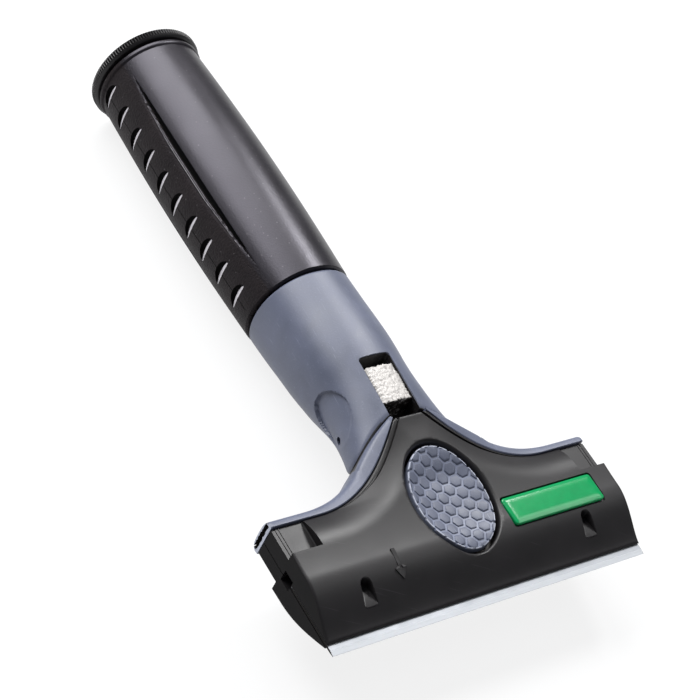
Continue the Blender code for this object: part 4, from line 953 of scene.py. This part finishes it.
def slot_cutter(side, place):
    """Sections along the slot: each climbs from the lower edge and drops off steeply at the arc."""
    rings = []
    for z in np.linspace(-4.15, 4.15, 27):
        rise = max(slot_rise(z), 0.12)
        surface = math.sqrt(grip_radius(place) ** 2 - z * z)
        section = [(0, -1.0), (0, 0.05), (0.48, 0.56 * rise), (0.82, 1.40 * rise), (0.96, 1.0 * rise),
                   (1, 0.2 * rise), (1, -1.0)]
        edge = place - slot_foot + slot_bow * (1 - rise)
        rings.append([(side * (surface - depth), edge + slot_length * rise * share, z)
                      for share, depth in section])
    return loft(rings)


def on_slot_edge(x, y, z):
    """Whether a place lies on the strip of painted highlight along a slot's lower edge."""
    if abs(z) > 4.1 or abs(x) < 13 or math.hypot(x, z) > grip_radius(y) - 0.02:
        return False
    rise = slot_rise(z)
    return min(abs(y - place + slot_foot - slot_bow * (1 - rise) - 0.67 * rise) for place in slot_places) < 0.3


def in_slot(x, y, z):
    return abs(z) < 4.15 and 12.5 < abs(x) and math.hypot(x, z) < grip_radius(y) - 0.08 and min(
        abs(y - place) for place in slot_places) < 1.6 and not on_slot_edge(x, y, z)


carve(grip, together(*[slot_cutter(side, place) for side in (-1, 1) for place in slot_places]))

# %% [markdown]
# ## The end cap
# The cap's rim has a fine knurl for a wet hand: 126 straight rounded ribs, a little coarser than the 0.6 mm
# of a real one so that they show, with a smooth chamfer towards the grip. Under it the threaded plug
# reaches into the handle tube, and shows when the cap is unscrewed.

# %% Turn the cap
ribs = 126
cap_turns = np.arange(ribs * 6) / (ribs * 6) * math.tau
teeth = np.tile([0.0, 0.10, 0.45, 0.70, 0.45, 0.10], ribs)
rows = [(10.05, 178.5, 0), (10.05, 187.9, 0), (15.5, 187.9, 0), (15.7, 187.93, 0), (15.92, 188.03, 0),
        (16.3, 188.38, 0), (16.46, 188.56, 0.15), (16.58, 188.64, 1), (16.6, 189.4, 1), (16.6, 190.2, 1),
        (16.44, 190.38, 0.5), (16.2, 190.5, 0), (12.35, 190.5, 0), (12.05, 190.42, 0), (11.95, 190.2, 0),
        (11.8, 189.98, 0), (11.5, 189.9, 0), (6.0, 189.9, 0)]
rings = []
for radius, y, share in rows:
    r = radius - teeth * share
    rings.append(np.column_stack([r * np.cos(cap_turns), np.full(len(r), y), r * np.sin(cap_turns)]))
cap = make_object("cap_knurled", loft(rings))


def thread(root, crest, start, turns, pitch=3.0, steps=48):
    rings = []
    for i in range(int(turns * steps) + 1):
        angle, y = -math.tau * i / steps, start + pitch * i / steps
        section = [(root, -0.55), (crest, -0.35), (crest, 0.35), (root, 0.55)]
        rings.append([(r * math.cos(angle), y + dy, r * math.sin(angle)) for r, dy in section])
    return loft(rings)


carve(cap, thread(9.85, 10.7, 179.3, 2), "UNION")
coin = rounded_box(8.0, 1.0, 0.95, (0.0, 0.0), 8)
carve(cap, loft([[(x, y, z) for x, z in coin] for y in (188.3, 190.4)]))

# %% [markdown]
# ## The thumb button
# The pad is an oval, dished for the thumb, with a honeycomb of flat cells about 3.5 mm apart. Each cell is
# its own little plateau with a bevel, clipped to the oval, and the grooves between them are painted lighter,
# a painted reflection. Round them runs a narrow rim lip with small notches, painted pale as a highlight.

# %% Raise the honeycomb
button_half = (10.8, 14.7)
groove_depth = 0.32
cell_pitch = 3.47
rim_points = 208
dish_depth, valley_depth, valley_y = 1.4, 0.7, 34.0


def button_top(x, y):
    reach = (x / button_half[0]) ** 2 + ((y - oval_centre) / button_half[1]) ** 2
    dish = dish_depth * (1 - np.clip(reach, 0, 1))
    valley = valley_depth * np.exp(-((y - valley_y) / 3.4) ** 2) * np.clip(1.1 - reach, 0, 1)
    return front_height(0 * x, y) - 0.3 - dish - valley


def clip_polygon(polygon, fence):
    """The part of a convex polygon inside another, both run anticlockwise."""
    result = [np.array(p) for p in polygon]
    for a, b in zip(fence, np.roll(fence, -1, 0)):
        sides = [(b[0] - a[0]) * (p[1] - a[1]) - (b[1] - a[1]) * (p[0] - a[0]) for p in result]
        kept = []
        for i, p in enumerate(result):
            q, near, far = result[(i + 1) % len(result)], sides[i], sides[(i + 1) % len(result)]
            if near >= 0:
                kept.append(p)
            if near * far < 0:
                kept.append(p + (q - p) * near / (near - far))
        result = kept
        if not result:
            break
    return np.array(result)


def cell(outline):
    """A plateau with a bevelled edge over one outline; a small clipped cell gets a smaller bevel."""
    middle = outline.mean(0)
    reach = np.linalg.norm(outline - middle, axis=1).mean()
    rings = []
    for growth, drop in ((0.03, groove_depth + 0.2), (0, 0.14), (-0.14, 0.04), (-0.40, 0.0)):
        ring = middle + (outline - middle) * (1 + growth / max(reach, 1.2))
        rings.append(on_face(ring, button_top, drop))
    points, faces = loft(rings)
    points[-1][2] = float(button_top(*points[-1][:2]))
    return points, faces


def button_ring(growth, drop, notch=0.0):
    return on_face(oval(growth, rim_points), button_top, drop + notch * (np.arange(rim_points) % 8 == 0))


base = [level(oval(-0.9, rim_points), 6.0), button_ring(-0.9, 0.8)]
base += [button_ring(growth, drop, 0.6) for growth, drop in ((-0.96, 0.34), (-1.06, 0.14), (-1.24, 0.1))]
base += [button_ring(-1.4, groove_depth, 0.1)]
base += [button_ring(growth, groove_depth) for growth in np.linspace(-1.6, -11.2, 40)]
button = make_object("honeycomb_button", loft(base))
fence = oval(-1.22, 72)
cells = []
for column in range(-4, 5):
    x = 1.75 + 3.005 * column
    start = 26.35 if column % 2 == 0 else 24.6
    for row in range(-6, 7):
        piece = clip_polygon(circle(cell_pitch / math.sqrt(3) - 0.38, 6, (x, start + cell_pitch * row)), fence)
        if len(piece) > 2:
            piece = piece[np.linalg.norm(piece - np.roll(piece, 1, 0), axis=1) > 0.12]
        if len(piece) > 2 and (piece.max(0) - piece.min(0)).min() > 0.7:
            cells.append(cell(piece))
carve(button, together(*cells), "UNION")
posts = [prism(circle(2.4, 32, (side * 7.5, 26.5)), 0.4, 6.6) for side in (-1, 1)]
carve(button, together(*posts), "UNION")
print("cells on the pad:", len(cells))

# %% [markdown]
# ## The badge
# The badge is a plain enamelled plate with rounded corners and a broad bevel that gathers the light in one
# bright line along its lower edge.

# %% Bevel the badge
badge_rings = []
for inset, z in ((0, 8.5), (0, 9.12), (0.05, 9.24), (0.15, 9.33), (0.25, 9.37), (0.9, 9.55), (1.05, 9.58),
                 (2.2, 9.595), (3.4, 9.6)):
    corner = max(0.9 - inset, 0.15)
    outline = rounded_box(badge_half[0] - inset, badge_half[1] - inset, corner, badge_centre)
    badge_rings.append(level(outline, z))
badge = make_object("plain_badge", loft(badge_rings))

# %% [markdown]
# ## Blue-grey moulded parts: glass-filled nylon
# The neck, the arms and the button are moulded in one colour. Nylon with short glass fibre comes out satin,
# a little cloudy where the melt met itself, and shows pale rubs along the way it is handled. The fibres
# themselves are 0.01 mm thick; the short pale flecks here are drawn at 0.45 mm so that they can be seen.
# The same nylon is painted paler in the button's grooves, a painted reflection; painted pale on the
# button's rim, a painted highlight; rubbed pale on the arms' cut ends; and painted near black, as painted
# shade with some dirt, in the seams, the arms' torn pockets and inside the window. The button's own copy
# is a little darker, painted shade against the key light on its dish.

# %% Blue-grey moulding
def moulded_nylon(name, dark, light):
    look, place = new_look(name)
    cloud, tone = two_tones(look, place, 7, 4.0, dark, light, Distortion=0.6)
    fleck = add_node(look, "TexNoise", {"Vector": place, "Scale": cycles(0.45), "Detail": 2.0}).outputs["Fac"]
    tone = tinted(look, tone, "#80869a", fleck, 0.60, 0.78, 0.22)
    tone = rubbed(look, place, tone, "#8a90a2", (0.3, 9, 0.3), 4, 0.71, 0.84, 0.45)
    return finish_look(look, {"Base Color": tone, "IOR": 1.53}, (cloud, 0.38, 0.54), (fleck, 0.4, 0.05))


blue_grey = moulded_nylon("moulded_blue_grey_nylon", "#464b5a", "#5a5f73")
# The button's copy of the nylon is a little darker than the neck's: painted shade against the key light on its
# dish.
pad_grey_painted_shade = moulded_nylon("moulded_button_nylon_painted_shade", "#434857", "#585d6f")
# Painted reflection: a lighter copy of the nylon for the honeycomb's grooves.
groove_painted_reflection = moulded_nylon("moulded_button_grooves_painted_reflection", "#5a5f71", "#747a8d")
# Pale nylon: painted highlight on the button's rim lip, and wear on the arms' cut ends.
rim_highlight_and_wear = moulded_nylon("moulded_nylon_rim_painted_highlight_and_wear", "#8a8fa0", "#b4b8c4")
# Painted shade, with some dirt in the window: a near-black nylon for the seams, torn pockets and window walls.
painted_shade_nylon = moulded_nylon("nylon_painted_shade_in_hollows", "#0e0d0d", "#2a2726")
print("blue-grey moulding:", len(blue_grey.node_tree.nodes), "nodes")

# %% [markdown]
# ## The grip: thermoplastic rubber
# The sleeve is a soft rubber moulded over the tube. Its broad panels left a polished part of the mould, so
# they have a soft sheen with a few dust specks; the side bands left a grained part, so they look darker
# and drier, and a narrow strip beside each panel lies between the two. Deep places, nearer the axis than
# 14.7 mm, are painted darker as shade. The slots' lower edges and the creases' ridges are painted pale as
# highlights.

# %% Grip rubber
def grip_look(name, dark, light, rough_low, rough_high, grain_depth, shine):
    """Black rubber with a cloudy tone, dust specks, the mould's grain and painted shade where it lies deep."""
    look, place = new_look(name)
    grain = add_node(look, "TexNoise", {"Vector": place, "Scale": cycles(0.55), "Detail": 3.0,
                                        "Roughness": 0.6}).outputs["Fac"]
    cloud = add_node(look, "TexNoise", {"Vector": place, "Scale": cycles(12), "Detail": 4.0}).outputs["Fac"]
    dust = add_node(look, "TexVoronoi", {"Vector": place, "Scale": cycles(2.2), "Randomness": 1.0})
    mixed = add_node(look, "Math", {0: grain, 1: cloud}, operation="MULTIPLY")
    tone = add_node(look, "Mix", {0: mixed.outputs[0], 6: linear(dark), 7: linear(light)}, data_type="RGBA")
    # Painted shade: the rubber darkens where it lies nearer the axis than 14.7 mm, in creases, slots and the
    # bore.
    from_axis = add_node(look, "Mapping", {"Vector": place, "Location": (0, 0, -cap_radius * MM),
                                           "Scale": (1, 0, 1)})
    radius = add_node(look, "VectorMath", {0: from_axis.outputs[0]}, operation="LENGTH")
    tone = tinted(look, tone.outputs[2], "#050405", radius.outputs["Value"], 14.7 * MM, 14.2 * MM)
    tone = tinted(look, tone, "#5a5759", dust.outputs["Distance"], 0.10, 0.05, 0.55)
    values = {"Base Color": tone, "IOR": 1.52, "Specular IOR Level": shine, "Specular Tint": linear("#f4f0ff")}
    return finish_look(look, values, (cloud, rough_low, rough_high), (grain, grain_depth, 0.30))


def plain_rubber(name, size, dark, light, rough_low, rough_high, grain_depth=None):
    """Rubber in two tones, grained when it has a grain depth."""
    look, place = new_look(name)
    wear, tone = two_tones(look, place, size, 3.0, dark, light)
    return finish_look(look, {"Base Color": tone, "IOR": 1.52}, (wear, rough_low, rough_high),
                       grain_depth and (wear, grain_depth, 0.06))


rubber = grip_look("polished_grip_rubber", "#0e0c0f", "#252227", 0.28, 0.42, 0.10, 0.36)
rubber_edge = grip_look("grip_rubber_between", "#0c0a0c", "#201c1f", 0.38, 0.52, 0.50, 0.24)
rubber_band = grip_look("grained_grip_rubber", "#050304", "#373030", 0.48, 0.62, 1.0, 0.13)
nitrile = plain_rubber("black_nitrile_rubber", 0.4, "#19181a", "#2d2c2e", 0.6, 0.75, 0.5)
# Painted highlight: a pale rubber for the lit strip along the slots' lower edges.
painted_highlight_edge = plain_rubber("grip_rubber_painted_highlight", 0.9, "#87848b", "#d2ced2", 0.30, 0.50)
# Painted highlight: a paler rubber for the crests of the creases' ridges.
painted_highlight_ridge = plain_rubber("grip_rubber_ridges_painted_highlight", 0.9, "#3a373c", "#77737b", 0.30, 0.50)
print("rubbers:", rubber.name, nitrile.name, painted_highlight_edge.name, painted_highlight_ridge.name)

# %% [markdown]
# ## The badge: enamelled plate
# Enamel is glass melted onto metal. It is glossy and deep, pulls away a little from the edges while it
# flows, and sets with a very slight orange peel. A thin clear coat over a saturated green gives both. It
# is kept a little rough, so that the large softbox doesn't turn the whole plate white from the front.

# %% Green enamel
look, place = new_look("green_vitreous_enamel")
flow, tone = two_tones(look, place, 2.5, 2.0, "#027a44", "#048f50")
mist = add_node(look, "TexNoise", {"Vector": place, "Scale": cycles(0.3), "Detail": 1.0})
enamel = finish_look(look, {"Base Color": tone, "IOR": 1.52, "Specular IOR Level": 0.28, "Coat Weight": 0.22,
                            "Coat Roughness": 0.08}, (mist.outputs["Fac"], 0.15, 0.24), (flow, 0.25, 0.06))
print("enamel:", len(enamel.node_tree.nodes), "nodes")

# %% [markdown]
# ## The bar in the window: zinc alloy as cast
# Pressure-cast zinc leaves the mould with a bright but matt skin, greyish where it cooled slowly, with
# dark pinholes and a torn look where the runner was broken off. The end towards the head is coloured
# nearly black and made less metallic. The mottling is drawn at the size at which it shows, about 1 mm.

# %% Cast zinc
def own_y(*places):
    """Places along the tool as the object's own coordinate has them, in metres."""
    return [(place - tool_length / 2) * MM for place in places]


look, place = new_look("zinc_alloy_as_cast")
mottle = add_node(look, "TexNoise", {"Vector": place, "Scale": cycles(1.0), "Detail": 5.0,
                                     "Roughness": 0.7}).outputs["Fac"]
tone = tinted(look, linear("#7b7775"), "#b0adaa", mottle, 0.30, 0.50)
pore = add_node(look, "TexVoronoi", {"Vector": place, "Scale": cycles(0.9), "Randomness": 1.0})
tone = tinted(look, tone, "#3a3634", pore.outputs["Distance"], 0.20, 0.08, 0.5)
along = add_node(look, "SeparateXYZ", {"Vector": place})
torn = add_node(look, "MapRange", {"Value": mottle, "To Min": -1.6 * MM, "To Max": 1.6 * MM})
torn = add_node(look, "Math", {0: along.outputs["Y"], 1: torn.outputs["Result"]}).outputs[0]
# Darker towards the head: the bar's last half millimetre there is coloured nearly black.
clean, black_end = own_y(56.1, 55.7)
tone = tinted(look, tone, "#231d1a", torn, clean, black_end)
metal = add_node(look, "MapRange", {"Value": torn, "From Min": clean, "From Max": black_end,
                                    "To Min": 0.4, "To Max": 0.1})
cast = finish_look(look, {"Base Color": tone, "Metallic": metal.outputs["Result"]},
                   (mottle, 0.40, 0.62), (mottle, 0.6, 0.25))
print("cast zinc:", len(cast.node_tree.nodes), "nodes")

# %% [markdown]
# ## Steels
# Four steels, told apart by how they were worked: the blade is ground along its length, which draws fine
# parallel lines, the springs are drawn wire, the screws and the clamp are zinc plated, a little cloudy and
# bluish, and the pin is blackened so that it doesn't rust where it shows. Real grinding lines stand about
# 0.02 mm apart; they are drawn at 0.3 mm so that they show. The blade's bevel is brighter than the rolled
# flat behind it, and its two sheared ends are nearly black.

# %% Blade, springs, plate and pin
def worked_steel(name, dark, light, rough_low, rough_high, sizes, depth):
    """A metal whose lines or clouds are as long, wide and high as the sizes say, in millimetres."""
    look, place = new_look(name)
    lines = add_node(look, "TexNoise", {"Vector": stretched(look, place, sizes), "Scale": 1.0,
                                        "Detail": 3.0}).outputs["Fac"]
    haze = add_node(look, "TexNoise", {"Vector": place, "Scale": cycles(4), "Detail": 3.0})
    tone = add_node(look, "Mix", {0: lines, 6: linear(dark), 7: linear(light)}, data_type="RGBA")
    both = add_node(look, "Math", {0: lines, 1: haze.outputs["Fac"]}, operation="MULTIPLY")
    return finish_look(look, {"Base Color": tone.outputs[2], "Metallic": 1.0},
                       (both.outputs[0], rough_low, rough_high), (lines, 0.3, depth), span=(0.1, 0.45))


def blade_zones(look):
    """Leaves the ground bevel bright, dulls the rolled flat behind it and darkens the two sheared ends."""
    shader = look.node_tree.nodes["Principled BSDF"]
    place = look.node_tree.nodes["Texture Coordinate"].outputs["Object"]
    tone = shader.inputs["Base Color"].links[0].from_socket
    along = add_node(look, "SeparateXYZ", {"Vector": place})
    tone = tinted(look, tone, "#c8c8c9", along.outputs["Y"], *own_y(1.36, 1.44), blend_type="MULTIPLY")
    reach = add_node(look, "Math", {0: along.outputs["X"]}, operation="ABSOLUTE")
    tone = tinted(look, tone, "#1d1b1a", reach.outputs[0], 49.93 * MM, 49.98 * MM)
    look.node_tree.links.new(tone, shader.inputs["Base Color"])


blade_steel = worked_steel("ground_strip_steel", "#adb0b4", "#c3c6ca", 0.50, 0.60, (18, 0.3, 0.3), 0.006)
wire_steel = worked_steel("drawn_spring_wire", "#77787c", "#a9aaae", 0.24, 0.40, (0.6, 0.6, 0.2), 0.03)
zinc_plate = worked_steel("bright_zinc_plate", "#9fa3aa", "#c9cdd4", 0.26, 0.46, (0.7, 0.7, 0.7), 0.02)
black_steel = worked_steel("blackened_steel", "#0e0e10", "#1c1c1f", 0.40, 0.55, (0.5, 0.5, 0.5), 0.03)
blade_zones(blade_steel)
print("steels:", blade_steel.name, wire_steel.name, zinc_plate.name, black_steel.name)

# %% [markdown]
# ## Dress the pieces
# Each shaped piece takes its finish and its body, and the frame's node that it stands for is hidden. The
# nodes that stay as the CAD made them get a finish too, because some of them show when the blade is out,
# the cap is off or the head is seen from below.

# %% Finishes on shaped pieces
def stain(item, look, picks):
    """Gives a second look to the faces whose middle, in the tool's millimetres, a test picks."""
    item.data.materials.append(look)
    count = 0
    for face in item.data.polygons:
        if picks(*(np.array(face.center) / MM - datum)):
            face.material_index = len(item.data.materials) - 1
            count += 1
    print(look.name, "on", count, "faces of", item.name)


def below_skin(x, y, z, depth):
    return math.hypot(x, z) < grip_radius(y) - depth


def on_rim(x, y, z):
    """Whether a place lies on the button's rim lip, outside the cells."""
    return z > button_top(x, y) - 0.4 and (x / (oval_half[0] - 1.3)) ** 2 + (
        (y - oval_centre) / (oval_half[1] - 1.3)) ** 2 > 1


# The covers' end faces take the darker copy of the black: painted shade.
for cover in (front, rear):
    stain(cover, end_black_painted_shade, lambda x, y, z: abs(x) > head_half - 0.02)
settle(frame_arms, blue_grey, "tool", ["head_frame"])
# The arms' torn pockets and their crease against the neck get painted shade.
stain(frame_arms, painted_shade_nylon, lambda x, y, z: 48.5 < abs(x) < 49.99 and abs(y - 34.72) < 0.75 and abs(z - 2.2) < 5.0)
stain(frame_arms, painted_shade_nylon, lambda x, y, z: abs(x) < 20.4 and abs(y - arch(x, arm_seam)) < 0.16)
# The arms' cut ends are rubbed pale: wear.
stain(frame_arms, rim_highlight_and_wear, lambda x, y, z: abs(x) > 49.96)
settle(neck, blue_grey, "tool", ["neck_body"])
# The neck's foot along the crease and the window's walls get painted shade, with some dirt in the window.
stain(neck, painted_shade_nylon, lambda x, y, z: y < arch(x) + 0.2)
stain(neck, painted_shade_nylon, lambda x, y, z: abs(x) < 4.95 and 49.5 < y < 79.2 and -2.0 < z < neck_front(x, y) - 0.3)
settle(core, cast, "tool", ["metal_core"])
settle(grip, rubber, "tool", ["grip_sleeve"], 30)
for finish, half in ((rubber_edge, 9.9), (rubber_band, 9.0)):
    stain(grip, finish, lambda x, y, z: abs(z) < half and abs(x) > 9)
# The slots' lower edges get a painted highlight.
stain(grip, painted_highlight_edge, on_slot_edge)
# The creases' ridges get a painted highlight.
stain(grip, painted_highlight_ridge, lambda x, y, z: abs(z) > 7 and crease_size(y) > 0.2 and min(
    abs(crease_place(x, y, z) - u) for u in (1.62, 2.02)) < 0.09)
# Painted shade: the mould line, the deep parts of the creases and the slots' hollows are laid near black.
stain(grip, painted_shade_black, lambda x, y, z: abs(z) < 0.1 and below_skin(x, y, z, 0.02) or (
    7 < abs(z) < 12 and below_skin(x, y, z, 0.85)) or in_slot(x, y, z))
settle(cap, black, "cap", ["end_cap"], 30)
# The pad takes the darker copy of the nylon: painted shade.
settle(button, pad_grey_painted_shade, "button", ["thumb_button"], 30)
# The grooves take the lighter copy: painted reflection.
stain(button, groove_painted_reflection, lambda x, y, z: z < button_top(x, y) - 0.2)
# The button's rim lip gets a painted highlight.
stain(button, rim_highlight_and_wear, on_rim)
settle(badge, enamel, "tool", ["badge"], 30)
for number, screw in enumerate(screws, 1):
    settle(screw, zinc_plate, "tool", ["cover_screw_%d" % number])

# %% [markdown]
# The two springs stand on the metal core under the button. Each is a copy of the frame's spring that stays
# with the tool.

# %% Copy the springs
for side in ("left", "right"):
    name = "button_spring_" + side
    spring = placed("wire_spring_" + side, nodes[name].data.copy())
    settle(spring, wire_steel, "tool", [name])
    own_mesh(spring)

# %% Finishes on the frame's own pieces
kept = {"handle_tube": black, "cap_seal": nitrile, "clamp_pad": nitrile, "clamp_plate": zinc_plate,
        "clamp_screw_left": zinc_plate, "clamp_screw_right": zinc_plate, "blade": blade_steel,
        "core_pin": black_steel}
for name, look in kept.items():
    for slot in nodes[name].material_slots:
        slot.material = look
print("kept from the frame:", ", ".join(kept))

# %% [markdown]
# ## Camera
# The photo looks down on the front of the head from its left, with a moderately long lens. The camera's
# place and turn were fitted to the corners of the blade, the badge, the window and the cap.

# %% Set the camera
sensor = 36
focal_pixels, picture_pixels = 2010, 700
sight = np.array([[0.7943, -0.494, 0.3537], [0.1768, 0.745, 0.6432], [-0.5813, -0.4483, 0.6791]])
stand = np.array([-301.3, -155.5, 360.0])
camera = bpy.data.cameras.new("portrait_camera")
camera.sensor_width = sensor
camera.lens = focal_pixels / picture_pixels * sensor
seat = placed("portrait_camera", camera)
pose = Matrix(sight.T.tolist()).to_4x4()
pose.translation = Vector((stand + datum) * MM)
seat.matrix_world = pose
bpy.context.scene.camera = seat
print("lens", round(camera.lens, 1), "mm at", [round(v, 3) for v in pose.translation])

# %% [markdown]
# ## Floor and light
# The photo was taken on white. Three lamps light it: a large soft key from behind the cap, a narrow softbox
# from the far right, which draws the bright lines on the bevels, and a weak one from the right that opens
# the shadows. The floor shows as white to the eye and in reflections and still takes the tool's soft
# shadow. The world gives a plain pale fill.

# %% Lay the floor
floor_reach = 12.0
floor_drop = 0.5 * MM
floor_glow = 0.84
corners = [(x * floor_reach, y * floor_reach, 0) for x, y in ((-1, -1), (1, -1), (1, 1), (-1, 1))]
floor_mesh = bpy.data.meshes.new("studio_floor")
floor_mesh.from_pydata(corners, [], [(0, 1, 2, 3)])
floor = placed("studio_floor", floor_mesh)
floor.location.z = -floor_drop
floor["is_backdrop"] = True
look, place = new_look("pale_studio_floor")
tone = two_tones(look, place, 3, 2.0, "#f0f1f3", "#f6f7f8")[1]
matt = add_node(look, "BsdfDiffuse", {"Color": tone})
white = add_node(look, "Emission", {"Color": (1, 1, 1, 1), "Strength": 1.0})
path = add_node(look, "LightPath")
seen = path.outputs["Is Camera Ray"]
for ray in ("Is Glossy Ray", "Is Transmission Ray"):
    seen = add_node(look, "Math", {0: seen, 1: path.outputs[ray]}, operation="MAXIMUM").outputs[0]
share = add_node(look, "Math", {0: seen, 1: floor_glow}, operation="MULTIPLY")
mixed = add_node(look, "MixShader", {0: share.outputs[0], 1: matt.outputs[0], 2: white.outputs[0]})
add_node(look, "OutputMaterial", {"Surface": mixed.outputs[0]})
floor_mesh.materials.append(look)
print("floor:", 2 * floor_reach, "m wide,", len(look.node_tree.nodes), "nodes")

# %% Light the studio
world = bpy.data.worlds.new("pale_studio")
bpy.context.scene.world = world
world.use_nodes = True
fill = world.node_tree.nodes["Background"]
fill.inputs["Color"].default_value = linear("#eef1f7")
fill.inputs["Strength"].default_value = 0.22


def softbox(name, direction, distance, size, power):
    lamp = bpy.data.lights.new(name, "AREA")
    lamp.shape = "RECTANGLE"
    lamp.size, lamp.size_y = size
    lamp.energy = power
    item = placed(name, lamp)
    away = Vector(direction).normalized()
    item.location = away * distance
    item.rotation_euler = away.to_track_quat("Z", "Y").to_euler()
    print(name, power, "W from", [round(v, 2) for v in item.location])


softbox("key_softbox", (-0.16, 0.66, 0.76), 0.9, (0.9, 0.5), 14)
softbox("far_softbox", (0.52, 0.39, 0.76), 0.95, (0.10, 0.30), 5.5)
softbox("right_softbox", (0.62, -0.06, 0.78), 0.95, (0.45, 0.2), 1.2)
bpy.context.scene.view_settings.view_transform = "Standard"

# %% Write the sizes and finish
low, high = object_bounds()
print("visual box in mm:", [round((b - a) * 1000, 1) for a, b in zip(low, high)])
